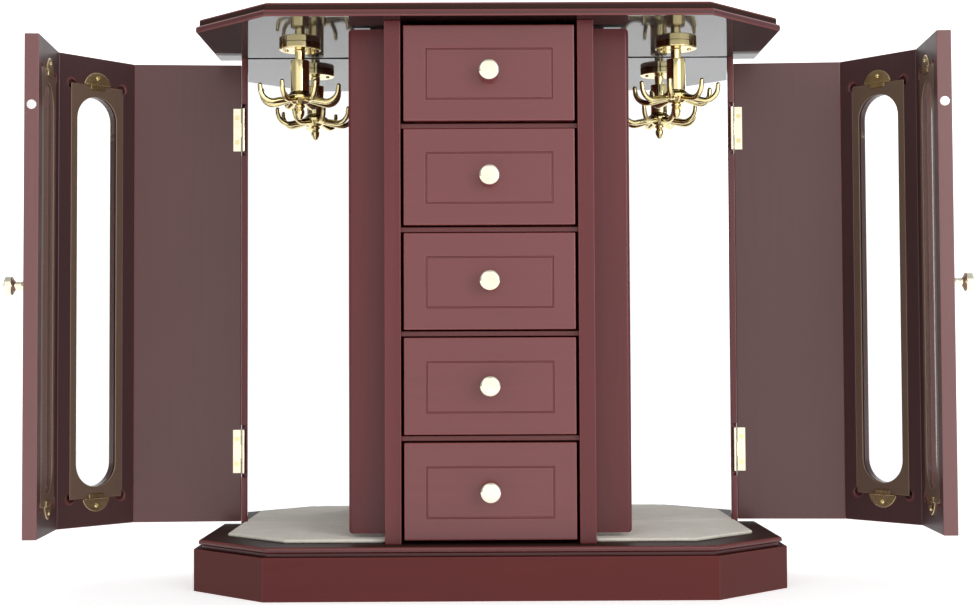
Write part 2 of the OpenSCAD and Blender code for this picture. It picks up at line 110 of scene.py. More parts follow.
def looking(pitch, yaw, roll):
    """Columns are the camera's right, its up and its back. Forward is turned from +Y by yaw
    towards +X and lifted by pitch, and right and up then turn about it by roll."""
    forward = np.array([math.sin(yaw) * math.cos(pitch), math.cos(yaw) * math.cos(pitch), math.sin(pitch)])
    level = np.array([math.cos(yaw), -math.sin(yaw), 0])
    up = np.cross(level, forward)
    right = level * math.cos(roll) + up * math.sin(roll)
    return np.column_stack([right, np.cross(right, forward), -forward])


camera = bpy.data.objects.new("camera", bpy.data.cameras.new("camera"))
bpy.context.scene.collection.objects.link(camera)
camera.data.lens = LENS
turn = Matrix(looking(PITCH, YAW, ROLL).tolist()).to_4x4()
camera.matrix_world = Matrix.Translation(EYE.tolist()) @ turn
bpy.context.scene.camera = camera
print("camera at", (EYE / MM).round(1), "mm, lens", LENS, "mm")

# %% [markdown]
# ## Surfaces from rings
# Almost every piece here is a skin stretched over rings of points: a board is its outline
# repeated up its edge profile, a knob is a circle repeated along its turned profile, and a hook
# is a small circle carried along a bent line. One function can make all of these meshes.

# %% Skin over rings
WELD = 1e-7   # points nearer than this, in metres, are one point


def skin(rings, ends="caps"):
    """Rings is an array of ring, point, xyz. Each quad joins two neighbouring points of one ring
    to the same two of the next. The ends are closed with caps, or the last ring meets the first."""
    count, points = rings.shape[:2]
    index = np.arange(count * points).reshape(count, points)
    low, high = (index, np.roll(index, -1, axis=0)) if ends == "loop" else (index[:-1], index[1:])
    quads = np.stack([low, np.roll(low, -1, axis=1), np.roll(high, -1, axis=1), high], axis=-1)
    faces = quads.reshape(-1, 4).tolist()
    if ends == "caps":
        faces += [index[0, ::-1].tolist(), index[-1].tolist()]
    return rings.reshape(-1, 3), faces


def joined(parts):
    """Several skins as one: each one's faces count on from the points before it."""
    starts = np.cumsum([0] + [len(points) for points, _ in parts])
    faces = [[i + start for i in face] for (_, fs), start in zip(parts, starts) for face in fs]
    return np.concatenate([points for points, _ in parts]), faces


def solid(name, surface):
    """A mesh with its seams and poles merged and its faces turned outwards."""
    mesh = bpy.data.meshes.new(name)
    mesh.from_pydata(surface[0].tolist(), [], surface[1])
    bm = bmesh.new()
    bm.from_mesh(mesh)
    bmesh.ops.remove_doubles(bm, verts=bm.verts, dist=WELD)
    bmesh.ops.recalc_face_normals(bm, faces=bm.faces)
    bm.to_mesh(mesh)
    bm.free()
    return mesh


# %% [markdown]
# ## Outlines and edge profiles
# A router bit or a plane never leaves a perfectly sharp arris. Both outlines and profiles are
# short lists of corners, and one fillet function rounds them all with true arcs. It always
# returns the same number of points, so a rounded ring can be joined to a square one.

# %% Fillets and insets
def fillet(corners, radii, steps=5, closed=True):
    """Each corner becomes an arc that touches both of its sides. It starts and ends at radius over
    tan(half the corner's angle) from the corner. Its points turn evenly from the first radius
    vector to the last. An open line keeps its two ends."""
    corners = np.asarray(corners, float)
    radii = np.broadcast_to(np.asarray(radii, float), len(corners))
    inner = slice(None) if closed else slice(1, -1)
    to_last = (np.roll(corners, 1, axis=0) - corners)[inner]
    to_next = (np.roll(corners, -1, axis=0) - corners)[inner]
    to_last /= np.linalg.norm(to_last, axis=1, keepdims=True)
    to_next /= np.linalg.norm(to_next, axis=1, keepdims=True)
    half = np.arccos(np.clip((to_last * to_next).sum(1), -1, 1)) / 2
    sweep = (math.pi - 2 * half)[:, None, None]
    reach = (radii[inner] / np.tan(half))[:, None]
    middle = to_last + to_next
    middle = middle / np.linalg.norm(middle, axis=1, keepdims=True) * (radii[inner] / np.sin(half))[:, None]
    share = np.linspace(0, 1, steps + 1)[None, :, None]
    first, last = (to_last * reach - middle)[:, None], (to_next * reach - middle)[:, None]
    arcs = (first * np.sin((1 - share) * sweep) + last * np.sin(share * sweep)) / np.sin(sweep)
    arcs = (arcs + (corners[inner] + middle)[:, None]).reshape(-1, 2)
    return arcs if closed else np.concatenate([corners[:1], arcs, corners[-1:]])


def inset(corners, by):
    """Moves each side of an anticlockwise outline inwards by its own distance. A new corner is
    where two moved sides meet: the point whose products with both normals are the moved ones."""
    side = np.roll(corners, -1, axis=0) - corners
    normal = np.stack([-side[:, 1], side[:, 0]], axis=1) / np.linalg.norm(side, axis=1, keepdims=True)
    place = (normal * corners).sum(1) + by
    both = np.stack([np.roll(normal, 1, axis=0), normal], axis=1)
    return np.linalg.solve(both, np.stack([np.roll(place, 1), place], axis=1)[..., None])[..., 0]


def rectangle(x0, x1, y0, y1):
    """The four corners of a rectangle, anticlockwise."""
    return np.array([[x0, y0], [x1, y0], [x1, y1], [x0, y1]], float)


def lifted(points, height):
    """Flat (x, y) points, all at one height."""
    return np.column_stack([points, np.full(len(points), height)])


LEAST_R = 0.1 * MM   # the sharpest corner that a ring may have


def board_rings(outline, profile, corner=0.4 * MM, share=1.0):
    """The outline repeated for every (distance in, height) of an edge profile. Each side moves in
    by that distance times its share, and each corner's radius shrinks with it."""
    return np.stack([lifted(fillet(inset(outline, d * share), max(corner - d, LEAST_R)), height)
                     for d, height in profile])


def turned(profile, steps=48):
    """A lathe-turned surface: every (radius, height) of the profile goes round the Z axis."""
    angle = np.linspace(0, 2 * math.pi, steps, endpoint=False)[None, :]
    radius, height = profile[:, :1], profile[:, 1:]
    return np.stack([radius * np.cos(angle), radius * np.sin(angle), height + 0 * angle], axis=-1)


print("a square with rounded corners has", len(fillet(rectangle(0, 1, 0, 1), 0.1)), "points")

# %% [markdown]
# ## From a surface to a shown piece
# A new piece stands for its measured node: it rides on the same body and hides the plain one.
# Weighted normals keep the broad faces flat while the eased edges between them stay smooth. A
# node whose shape is already right only gets a finish.

# %% Piece helpers
FLAT_TURN, ARRIS_TURN, RIM_TURN = 12.5, 17, 40   # degrees
FRAME_WELD = 1e-6


def arrises(mesh):
    """Writes how much of a convex arris each point lies on. Across an edge the two faces have
    normals n and centres c: they turn by arccos(n1 . n2), and the edge is convex where
    (n1 - n2) . (c1 - c2) > 0. Both come from sums over an edge's two faces. A turn under
    FLAT_TURN counts as flat, one over ARRIS_TURN as a full arris, and one over RIM_TURN as the rim
    of a drilled hole, which no hand rubs."""
    loops, faces, edges = len(mesh.loops), len(mesh.polygons), len(mesh.edges)
    loop_edge, loop_total = np.empty(loops, np.int32), np.empty(faces, np.int32)
    normal, centre = np.empty(faces * 3, np.float32), np.empty(faces * 3, np.float32)
    ends = np.empty(edges * 2, np.int32)
    mesh.loops.foreach_get("edge_index", loop_edge)
    mesh.polygons.foreach_get("loop_total", loop_total)
    mesh.polygons.foreach_get("normal", normal)
    mesh.polygons.foreach_get("center", centre)
    mesh.edges.foreach_get("vertices", ends)
    face = np.repeat(np.arange(faces), loop_total)
    n, c = normal.reshape(-1, 3)[face], centre.reshape(-1, 3)[face]
    sums = np.zeros((edges, 8))
    np.add.at(sums, loop_edge, np.column_stack([n, c, (n * c).sum(1), np.ones(loops)]))
    cosine = ((sums[:, :3] ** 2).sum(1) - 2) / 2
    bend = np.degrees(np.arccos(np.clip(cosine, -1, 1)))
    convex = (2 * sums[:, 6] - (sums[:, :3] * sums[:, 3:6]).sum(1) > 0) & (sums[:, 7] == 2)
    value = np.zeros(len(mesh.vertices), np.float32)
    rubbed_by = np.clip((bend - FLAT_TURN) / (ARRIS_TURN - FLAT_TURN), 0, 1)
    rubbed_by = rubbed_by * (convex & (bend < RIM_TURN))
    np.maximum.at(value, ends, np.repeat(rubbed_by, 2).astype(np.float32))
    mesh.attributes.new("arris", "FLOAT", "POINT").data.foreach_set("value", value)


def shown(node, surface, finish, smooth=40):
    """The shape that is shown for a node. Surface is a mesh, or the points and faces of one. Edges
    that turn by more than smooth degrees stay sharp."""
    mesh = surface if isinstance(surface, bpy.types.Mesh) else solid(node, surface)
    mesh.materials.clear()
    mesh.materials.append(finish)
    arrises(mesh)
    mesh.polygons.foreach_set("use_smooth", np.ones(len(mesh.polygons), bool))
    mesh.set_sharp_from_angle(angle=math.radians(smooth))
    piece = bpy.data.objects.new(node + "_shown", mesh)
    bpy.context.scene.collection.objects.link(piece)
    shading = piece.modifiers.new("flat faces, smooth edges", "WEIGHTED_NORMAL")
    shading.keep_sharp = True
    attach(piece, nodes[node]["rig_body"])
    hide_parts(node)
    return piece


def repainted(piece, finish, chosen):
    """Gives another finish to the faces whose centres the test chooses."""
    mesh = piece.data
    mesh.materials.append(finish)
    centre = np.empty(len(mesh.polygons) * 3, np.float32)
    index = np.empty(len(mesh.polygons), np.int32)
    mesh.polygons.foreach_get("center", centre)
    mesh.polygons.foreach_get("material_index", index)
    index[chosen(centre.reshape(-1, 3).astype(float))] = len(mesh.materials) - 1
    mesh.polygons.foreach_set("material_index", index)


def eased(node, radius, at_least=4 * MM):
    """A copy of a node's mesh with its triangles merged into whole faces. Every edge that is longer
    than at_least and turns by more than 25 degrees is rounded."""
    bm = bmesh.new()
    bm.from_mesh(nodes[node].data)
    bmesh.ops.remove_doubles(bm, verts=bm.verts, dist=FRAME_WELD)
    bmesh.ops.dissolve_limit(bm, angle_limit=math.radians(1), verts=bm.verts, edges=bm.edges)
    sharp = [e for e in bm.edges if len(e.link_faces) == 2 and e.calc_length() > at_least
             and e.calc_face_angle() > math.radians(25)]
    bmesh.ops.bevel(bm, geom=sharp, offset=radius, segments=4, profile=0.5, affect="EDGES",
                    clamp_overlap=True)
    mesh = bpy.data.meshes.new(node)
    bm.to_mesh(mesh)
    bm.free()
    print(f"{node}: {len(sharp)} edges eased by {radius / MM:.1f} mm")
    return mesh


def finished(node, finish):
    """A measured node that is shown as it is, with its finish."""
    if not nodes[node].data.materials:
        nodes[node].data.materials.append(finish)
    for place in nodes[node].material_slots:
        place.material = finish


def points_of(node):
    """All the points of a node's mesh, as an array."""
    points = np.empty(len(nodes[node].data.vertices) * 3, np.float32)
    nodes[node].data.vertices.foreach_get("co", points)
    return points.reshape(-1, 3).astype(float)


# %% [markdown]
# ## Finishes: small helpers
# Every finish is a tree of shader nodes. Effects that several finishes share, such as the wood's
# figure or the marks left by a polishing wheel, are node groups with named inputs and outputs.

# %% Node helpers
def fill(tree, node, values):
    """Wires an input where its value is another node's socket, and sets it where it isn't."""
    for name, value in values.items():
        if isinstance(value, bpy.types.NodeSocket):
            tree.links.new(value, node.inputs[name])
        else:
            node.inputs[name].default_value = value
    return node


def add(tree, kind, values, **settings):
    """A node of a kind, with its settings and its inputs."""
    made = tree.nodes.new("ShaderNode" + kind)
    for name, value in settings.items():
        setattr(made, name, value)
    return fill(tree, made, values)


def maths(tree, operation, *values, clamp=False):
    """The result of a Math node."""
    return add(tree, "Math", dict(enumerate(values)), operation=operation, use_clamp=clamp).outputs[0]


def mixed(tree, factor, first, second):
    """A blend of two colours. A Mix node has a set of sockets for each kind of data, and those for
    colours are its inputs 6 and 7 and its output 2."""
    return add(tree, "Mix", {"Factor": factor, 6: first, 7: second}, data_type="RGBA").outputs[2]


def toned(tree, factor, low, high):
    """The colour between two tones, each given as (factor, red, green, blue)."""
    ramp = add(tree, "ValToRGB", {"Fac": factor})
    for stop, (place, *colour) in zip(ramp.color_ramp.elements, (low, high)):
        stop.position = place
        stop.color = (*colour, 1)
    return ramp.outputs["Color"]


def bumped(tree, height, strength, distance=0.1 * MM, **before):
    """The normals of a surface raised by a height, on top of those before it, if there are any."""
    values = {"Height": height, "Strength": strength, "Distance": distance, **before}
    return add(tree, "Bump", values).outputs["Normal"]


def new_group(name, inputs, outputs):
    """A shader node group. Inputs are (name, kind, default) and outputs are (name, kind)."""
    tree = bpy.data.node_groups.new(name, "ShaderNodeTree")
    for label, kind, default in inputs:
        socket = tree.interface.new_socket(label, in_out="INPUT", socket_type="NodeSocket" + kind)
        if default is not None:
            socket.default_value = default
    for label, kind in outputs:
        tree.interface.new_socket(label, in_out="OUTPUT", socket_type="NodeSocket" + kind)
    return tree, tree.nodes.new("NodeGroupInput").outputs, tree.nodes.new("NodeGroupOutput").inputs


def use(tree, group, values):
    """A group placed in a tree, with its own values."""
    made = tree.nodes.new("ShaderNodeGroup")
    made.node_tree = group
    return fill(tree, made, values).outputs


def new_finish(name, **values):
    """A material and its Principled shader, with constants set on the shader's own sockets."""
    material = bpy.data.materials.new(name)
    material.use_nodes = True
    shader = material.node_tree.nodes["Principled BSDF"]
    for label, value in values.items():
        shader.inputs[label.replace("_", " ")].default_value = value
    return material, material.node_tree, shader


def placed(tree, scale):
    """The piece's own coordinates, in metres, stretched by a scale along each axis."""
    here = tree.nodes.new("ShaderNodeTexCoord").outputs["Object"]
    return add(tree, "Mapping", {"Vector": here, "Scale": scale}).outputs["Vector"]


# %% [markdown]
# ## The wood's figure
# Stained cherry hides most of its grain, but not all: long soft streaks run with the board, the
# stain takes a little darker in broad clouds, and fine pores show as short dashes. All three are
# noise, stretched along the board by the mapping that each finish brings.

# %% Group: wood figure
wood_figure, given, out = new_group(
    "wood figure",
    [("Along", "Vector", None), ("Place", "Vector", None), ("Dark", "Color", (0.1, 0.02, 0.02, 1)),
     ("Light", "Color", (0.2, 0.04, 0.04, 1)), ("Contrast", "Float", 0.5)],
    [("Color", "Color"), ("Streak", "Float"), ("Pores", "Float")])
streak = add(wood_figure, "TexNoise", {"Vector": given["Along"], "Scale": 1.0, "Detail": 5.0,
                                       "Roughness": 0.62, "Distortion": 0.7})
cloud = add(wood_figure, "TexNoise", {"Vector": given["Place"], "Scale": 9.0, "Detail": 2.0})
pore = add(wood_figure, "TexNoise", {"Vector": given["Along"], "Scale": 5.0, "Detail": 1.0})
pore_cut = add(wood_figure, "MapRange", {"Value": pore.outputs["Fac"], "From Min": 0.3,
                                         "From Max": 0.42, "To Min": 0.0, "To Max": 1.0})
both = maths(wood_figure, "ADD", streak.outputs["Fac"], cloud.outputs["Fac"])
centred = maths(wood_figure, "SUBTRACT", both, 1.0)
spread = maths(wood_figure, "MULTIPLY", centred, given["Contrast"])
mask = maths(wood_figure, "ADD", spread, 0.5, clamp=True)
wood_figure.links.new(mixed(wood_figure, mask, given["Dark"], given["Light"]), out["Color"])
wood_figure.links.new(streak.outputs["Fac"], out["Streak"])
wood_figure.links.new(pore_cut.outputs["Result"], out["Pores"])
print("wood figure:", len(wood_figure.nodes), "nodes")

# %% [markdown]
# ## Handling marks
# A satin surface that is wiped and touched is not evenly smooth. Broad smears change its
# roughness slightly, and faint fine scuffs catch the light. The same group serves the lacquer,
# the brass, the mirrors and the glass with different strengths.

# %% Group: handling marks
handling, given, out = new_group(
    "handling marks",
    [("Place", "Vector", None), ("Roughness", "Float", 0.3), ("Smear", "Float", 0.05),
     ("Scuff size", "Float", 400.0)],
    [("Roughness", "Float"), ("Height", "Float")])
smear = add(handling, "TexNoise", {"Vector": given["Place"], "Scale": 22.0, "Detail": 4.0,
                                   "Roughness": 0.6, "Distortion": 0.4})
scuff = add(handling, "TexNoise", {"Vector": given["Place"], "Scale": given["Scuff size"],
                                   "Detail": 3.0, "Roughness": 0.7})
offset = maths(handling, "SUBTRACT", smear.outputs["Fac"], 0.5)
uneven = maths(handling, "MULTIPLY_ADD", offset, given["Smear"], given["Roughness"])
handling.links.new(uneven, out["Roughness"])
handling.links.new(scuff.outputs["Fac"], out["Height"])
print("handling marks:", len(handling.nodes), "nodes")

# %% [markdown]
# ## Rubbed edges
# Where hands and cloths pass, the lacquer's edges polish a shade lighter and the inner corners
# keep the stain's full depth. The "arris" attribute that arrises wrote tells one from the other.

# %% Group: rubbed edges
rubbed, given, out = new_group(
    "rubbed edges",
    [("Color", "Color", (0.2, 0.04, 0.04, 1)), ("Worn", "Color", (0.3, 0.08, 0.07, 1)),
     ("Amount", "Float", 0.5)],
    [("Color", "Color"), ("Edge", "Float")])
convex = add(rubbed, "Attribute", {}, attribute_name="arris").outputs["Fac"]
worn_by = maths(rubbed, "MULTIPLY", convex, given["Amount"])
rubbed.links.new(mixed(rubbed, worn_by, given["Color"], given["Worn"]), out["Color"])
rubbed.links.new(worn_by, out["Edge"])
print("rubbed edges:", len(rubbed.nodes), "nodes")

# %% [markdown]
# ## Cherry lacquer
# One recipe makes every lacquered board: figure, then rubbed edges, then a satin clear coat with
# faint pores under it. Only the grain's direction, the colour and the coat's gloss change, so
# uprights, rails, undersides and the darker plinth are versions of the same finish. Some versions
# are painted light: the undersides, the moulded boards' upper faces, the plinth corners and the
# door panels' inner faces are darker copies that paint in shade, and the door front panels are a
# lighter copy that paints in sheen.

# %% Finish: cherry lacquer
def cherry(name, scale, dark, light, contrast=0.55, roughness=0.34, coat=0.35, gloss=0.5,
           coat_roughness=0.16):
    """A stained and lacquered board whose grain is long where the scale is small."""
    finish, tree, shader = new_finish(name, Coat_Roughness=coat_roughness, Coat_IOR=1.5, IOR=1.5,
                                      Specular_IOR_Level=gloss)
    place = placed(tree, (1, 1, 1))
    figure = use(tree, wood_figure, {"Along": placed(tree, scale), "Place": place,
                                     "Dark": (*dark, 1), "Light": (*light, 1), "Contrast": contrast})
    worn = use(tree, rubbed, {"Color": figure["Color"], "Worn": (0.30, 0.085, 0.08, 1),
                              "Amount": 0.45})
    marks = use(tree, handling, {"Place": place, "Roughness": roughness, "Smear": 0.14,
                                 "Scuff size": 700.0})
    grain = bumped(tree, figure["Pores"], 0.12)
    fill(tree, shader, {"Base Color": worn["Color"], "Roughness": marks["Roughness"],
                        "Normal": bumped(tree, marks["Height"], 0.05, Normal=grain),
                        "Coat Weight": coat})
    return finish


# the grain's scale along x, y and z: uprights, drawer fronts, flat boards and the plinth's boards
UP, LEVEL, ACROSS, PLINTH = (260, 260, 9), (9, 9, 260), (9, 220, 220), (7, 7, 120)
cherry_front = cherry("cherry lacquer, drawer fronts", LEVEL, (0.132, 0.024, 0.026), (0.188, 0.036, 0.038),
                      coat=0.45)
cherry_frame = cherry("cherry lacquer, column", UP, (0.092, 0.010, 0.012), (0.138, 0.017, 0.019), coat=0.15,
                      gloss=0.4)
cherry_door = cherry("cherry lacquer, doors", UP, (0.066, 0.019, 0.018), (0.105, 0.030, 0.028), coat=0.55,
                     roughness=0.38, gloss=0.4)
# The door front panels take a lighter, greyer version of the door finish: painted sheen from the bright
# front they face.
cherry_door_front_lit = cherry("cherry lacquer, door fronts", UP, (0.135, 0.046, 0.044),
                     (0.175, 0.060, 0.058), coat=0.5)
# The inner faces of the window panels take a darker, matter copy: painted shade inside the open doors.
cherry_inner_shaded = cherry("cherry lacquer, window panels", UP, (0.048, 0.022, 0.023), (0.078, 0.034, 0.035),
                      coat=0.1, roughness=0.5, gloss=0.2)
cherry_board = cherry("cherry lacquer, top", ACROSS, (0.055, 0.009, 0.010), (0.100, 0.016, 0.017),
                      coat=0.35, roughness=0.3, gloss=0.4)
# Undersides take a near-black copy: painted shade, the dark that the underside of the top board shows.
cherry_under_shaded = cherry("cherry lacquer, undersides", ACROSS, (0.010, 0.003, 0.003), (0.018, 0.005, 0.005),
                      coat=0.85, roughness=0.5, gloss=0.1, coat_roughness=0.05)
# The moulded boards' upper faces take a darker, duller copy: painted shade.
cherry_upper_shaded = cherry("cherry lacquer, floor", ACROSS, (0.026, 0.010, 0.008), (0.044, 0.015, 0.011),
                     coat=0.0, roughness=0.55, gloss=0.15)
cherry_deep = cherry("cherry lacquer, plinth", PLINTH, (0.026, 0.002, 0.002), (0.058, 0.004, 0.004),
                     contrast=0.9, roughness=0.45, coat=0.0, gloss=0.12)
# The plinth's cut corners take a darker, browner copy: painted shade on the chamfers that face the dim
# sides.
cherry_corner_shaded = cherry("cherry lacquer, plinth corners", PLINTH, (0.024, 0.008, 0.006),
                       (0.042, 0.013, 0.010), contrast=0.9, roughness=0.5, coat=0.0, gloss=0.08)
print("cherry lacquer: 10 versions")

# %% [markdown]
# ## Bare wood, felt and the window plate
# Drawer boxes and the bottom panel are smooth bare wood with open pores. The felt is short
# matted fibre: soft clouds of tone, a fine fuzzy bump and some sheen at grazing angles. The
# window plates are thin sheet with a satin bronze-brown paint.

# %% Finishes: bare wood, felt, bronze plate
FRONT_TO_BACK = (160, 7, 160)   # the grain's scale
bare_wood, tree, shader = new_finish("bare wood", IOR=1.45)
figure = use(tree, wood_figure, {"Along": placed(tree, FRONT_TO_BACK), "Place": placed(tree, (1, 1, 1)),
                                 "Dark": (0.27, 0.13, 0.075, 1), "Light": (0.46, 0.27, 0.17, 1),
                                 "Contrast": 1.1})
marks = use(tree, handling, {"Place": placed(tree, (1, 1, 1)), "Roughness": 0.62, "Smear": 0.1})
fill(tree, shader, {"Base Color": figure["Color"], "Roughness": marks["Roughness"],
                    "Normal": bumped(tree, figure["Pores"], 0.35, 0.2 * MM)})

felt, tree, shader = new_finish("ivory felt", Sheen_Weight=0.35, Sheen_Roughness=0.5, Roughness=0.95)
place = placed(tree, (1, 1, 1))
matted = add(tree, "TexNoise", {"Vector": place, "Scale": 60.0, "Detail": 5.0, "Roughness": 0.7})
fibre = add(tree, "TexNoise", {"Vector": place, "Scale": 1500.0, "Detail": 3.0, "Distortion": 1.5})
ivory = toned(tree, matted.outputs["Fac"], (0.3, 0.84, 0.79, 0.66), (0.7, 0.95, 0.92, 0.82))
fill(tree, shader, {"Base Color": ivory, "Normal": bumped(tree, fibre.outputs["Fac"], 0.6, 0.4 * MM)})

bronze, tree, shader = new_finish("bronze-brown plate", IOR=1.5, Coat_Roughness=0.2)
place = placed(tree, (1, 1, 1))
marks = use(tree, handling, {"Place": place, "Roughness": 0.38, "Smear": 0.12, "Scuff size": 1800.0})
speckle = add(tree, "TexNoise", {"Vector": place, "Scale": 2500.0, "Detail": 1.0})
paint = toned(tree, speckle.outputs["Fac"], (0.35, 0.155, 0.100, 0.070), (0.7, 0.200, 0.132, 0.096))
worn = use(tree, rubbed, {"Color": paint, "Worn": (0.42, 0.27, 0.20, 1), "Amount": 0.7})
fill(tree, shader, {"Base Color": worn["Color"], "Roughness": marks["Roughness"], "Metallic": 0.35,
                    "Normal": bumped(tree, marks["Height"], 0.1)})
print("bare wood, felt and bronze plate made")

# %% [markdown]
# ## Metals, mirror and glass
# The carousels and screws are polished brass. The knobs take a paler polished copy of it and the
# hinges a paler one with softer faces: both paler tints paint in the light that these fittings catch
# from the bright room. The window clips are a darker brown brass. Magnets and catch plates are
# nickel. A metal is a mirror with a tint: its look comes from roughness that varies a little and
# from what stands around it.

# %% Finishes: metals
def metal(name, colour, tarnish, roughness, smear=0.05, dents=0.04):
    """A metal whose tint drifts to a tarnish in soft patches, with wheel marks in its roughness."""
    finish, tree, shader = new_finish(name, Metallic=1.0)
    place = placed(tree, (1, 1, 1))
    patch = add(tree, "TexNoise", {"Vector": place, "Scale": 90.0, "Detail": 4.0, "Roughness": 0.6})
    tint = toned(tree, patch.outputs["Fac"], (0.25, *tarnish), (0.6, *colour))
    marks = use(tree, handling, {"Place": place, "Roughness": roughness, "Smear": smear,
                                 "Scuff size": 900.0})
    fill(tree, shader, {"Base Color": tint, "Roughness": marks["Roughness"],
                        "Normal": bumped(tree, marks["Height"], dents)})
    return finish


brass = metal("polished brass", (0.93, 0.80, 0.42), (0.88, 0.73, 0.36), 0.10, dents=0.015)
# The hinges and knobs take paler copies of the brass: painted light from the bright surroundings.
hinge_brass_lit = metal("pale brass", (0.97, 0.92, 0.72), (0.92, 0.85, 0.62), 0.24, smear=0.08, dents=0.02)
knob_brass_lit = metal("polished pale brass", (0.98, 0.94, 0.78), (0.94, 0.88, 0.68), 0.12, dents=0.01)
dark_brass = metal("antique brass", (0.66, 0.53, 0.31), (0.50, 0.37, 0.20), 0.28, smear=0.1)
nickel = metal("nickel plate", (0.88, 0.88, 0.89), (0.80, 0.80, 0.80), 0.18)
silvering = metal("silvered mirror", (0.93, 0.94, 0.95), (0.925, 0.935, 0.945), 0.02, smear=0.02,
                  dents=0.0)

# %% Finish: glass
glass, tree, shader = new_finish("clear glass", Metallic=0.0, Transmission_Weight=1.0, IOR=1.5)
marks = use(tree, handling, {"Place": placed(tree, (1, 1, 1)), "Roughness": 0.015, "Smear": 0.01})
fill(tree, shader, {"Roughness": marks["Roughness"], "Base Color": (0.90, 0.91, 0.90, 1)})
print("metals, mirror and glass made")

# %% [markdown]
# ## The studio
# A plain pale floor sweeps up behind the chest without a line. The room is a white tent: bright
# in front and behind, brighter still to the right, and dimmer at the sides and overhead, so that
# each board's gloss depends on the way it faces. One large soft light stands high on the left,
# and a small one low on the right opens the shadows there.

# %% Floor sweep
NEAR, WALL, CEILING, HALF_WIDE, SWEEP_R = -30, 5, 6, 6, 1.0   # in metres
SWEEP = fillet([[NEAR, 0], [WALL, 0], [WALL, CEILING]], SWEEP_R, steps=24, closed=False)
across = np.linspace(-HALF_WIDE, HALF_WIDE, 25)
sweep_points = np.stack([lifted(np.column_stack([across, 0 * across + y]), z) for y, z in SWEEP])
grid = np.arange(len(SWEEP) * len(across)).reshape(len(SWEEP), len(across))
sweep_faces = np.stack([grid[:-1, :-1], grid[:-1, 1:], grid[1:, 1:], grid[1:, :-1]], -1).reshape(-1, 4)
sweep_mesh = bpy.data.meshes.new("floor")
sweep_mesh.from_pydata(sweep_points.reshape(-1, 3).tolist(), [], sweep_faces.tolist())
sweep_mesh.shade_smooth()
floor = bpy.data.objects.new("floor", sweep_mesh)
bpy.context.scene.collection.objects.link(floor)
paper, tree, shader = new_finish("pale paper", Roughness=0.9, Emission_Color=(1, 1, 1, 1),
                                 Emission_Strength=0.54)
fleck = add(tree, "TexNoise", {"Vector": placed(tree, (1, 1, 1)), "Scale": 6.0, "Detail": 3.0})
white = toned(tree, fleck.outputs["Fac"], (0, 0.86, 0.86, 0.86), (1, 0.9, 0.9, 0.9))
fill(tree, shader, {"Base Color": white})
sweep_mesh.materials.append(paper)
floor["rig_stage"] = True
print("floor sweep:", len(sweep_faces), "faces")

# %% Light
def soft_light(name, place, target, size, power):
    """A square area light, turned so that its face looks from its place to the target."""
    lamp = bpy.data.objects.new(name, bpy.data.lights.new(name, "AREA"))
    bpy.context.scene.collection.objects.link(lamp)
    lamp.data.size, lamp.data.energy = size, power
    aim = np.subtract(target, place)
    aim = aim / np.linalg.norm(aim)
    right = np.cross(aim, [0, 0, 1])
    right /= np.linalg.norm(right)
    turned_to = Matrix(np.column_stack([right, np.cross(right, aim), -aim]).tolist()).to_4x4()
    lamp.matrix_world = Matrix.Translation(place) @ turned_to
    return lamp


def faded(tree, value, start, end, first, last):
    """Goes smoothly from first to last while the value goes from start to end."""
    values = {"Value": value, "From Min": start, "From Max": end, "To Min": first, "To Max": last}
    return add(tree, "MapRange", values, interpolation_type="SMOOTHSTEP").outputs["Result"]


bpy.context.scene.view_settings.view_transform = "Standard"
world = bpy.data.worlds.new("studio")
bpy.context.scene.world = world
world.use_nodes = True
sky = world.node_tree
way = add(sky, "SeparateXYZ", {"Vector": sky.nodes.new("ShaderNodeTexCoord").outputs["Generated"]})
sideways = faded(sky, maths(sky, "ABSOLUTE", way.outputs["X"]), 0.45, 0.85, 1.0, 0.35)
overhead = faded(sky, way.outputs["Z"], 0.35, 0.8, 1.08, 0.45)
rightward = faded(sky, way.outputs["X"], 0.05, 0.35, 1.0, 1.6)
strength = maths(sky, "MULTIPLY", maths(sky, "MULTIPLY", sideways, overhead), rightward)
fill(sky, sky.nodes["Background"], {"Strength": strength, "Color": (1, 1, 1, 1)})
soft_light("key", (-1.8, -2.6, 2.4), (0, 0, 0.2), 2.6, 9)
soft_light("fill", (1.15, -1.7, 0.6), (0.25, 0, 0.2), 0.8, 7)
print("world and 2 soft lights")

# %% [markdown]
# ## Boards that only need their edges
# The plinth, the column walls, the shelves, the back, the drawer boxes and the doors' side
# panels are plain boards already in the right place. Copies of them get edges eased by about
# half a millimetre, which is enough for the light to draw a fine line along each arris and for
# the mitred plinth joints to show. The mirrors' ground edges are made in the same way.

# %% Eased boards
# The plinth corners take the darker copy, which paints in shade.
for node, radius, finish in [("plinth_rails", 0.5, cherry_deep), ("plinth_corners", 0.5, cherry_corner_shaded),
                             ("plinth_sides", 0.5, cherry_deep), ("column_walls", 0.6, cherry_frame),
                             ("drawer_shelves", 0.4, cherry_frame), ("back_panel", 0.3, cherry_frame),
                             ("left_side_panel", 0.6, cherry_door),
                             ("right_side_panel", 0.6, cherry_door)]:
    shown(node, eased(node, radius * MM), finish)
for node in ["bottom_panel"] + [n for n in nodes if n.endswith("_box")]:
    shown(node, eased(node, 0.5 * MM), bare_wood)
shown("back_mirrors", eased("back_mirrors", 0.4 * MM), silvering)
finished("pilasters", cherry_frame)

# %% [markdown]
# ## The moulded top and floor boards
# Both boards follow one outline, a rectangle with its front corners cut at 45 degrees. A router
# runs round the front and sides and leaves a step with rounded shoulders, while the back edge
# stays nearly square. The corner's size is read from the board's own points.

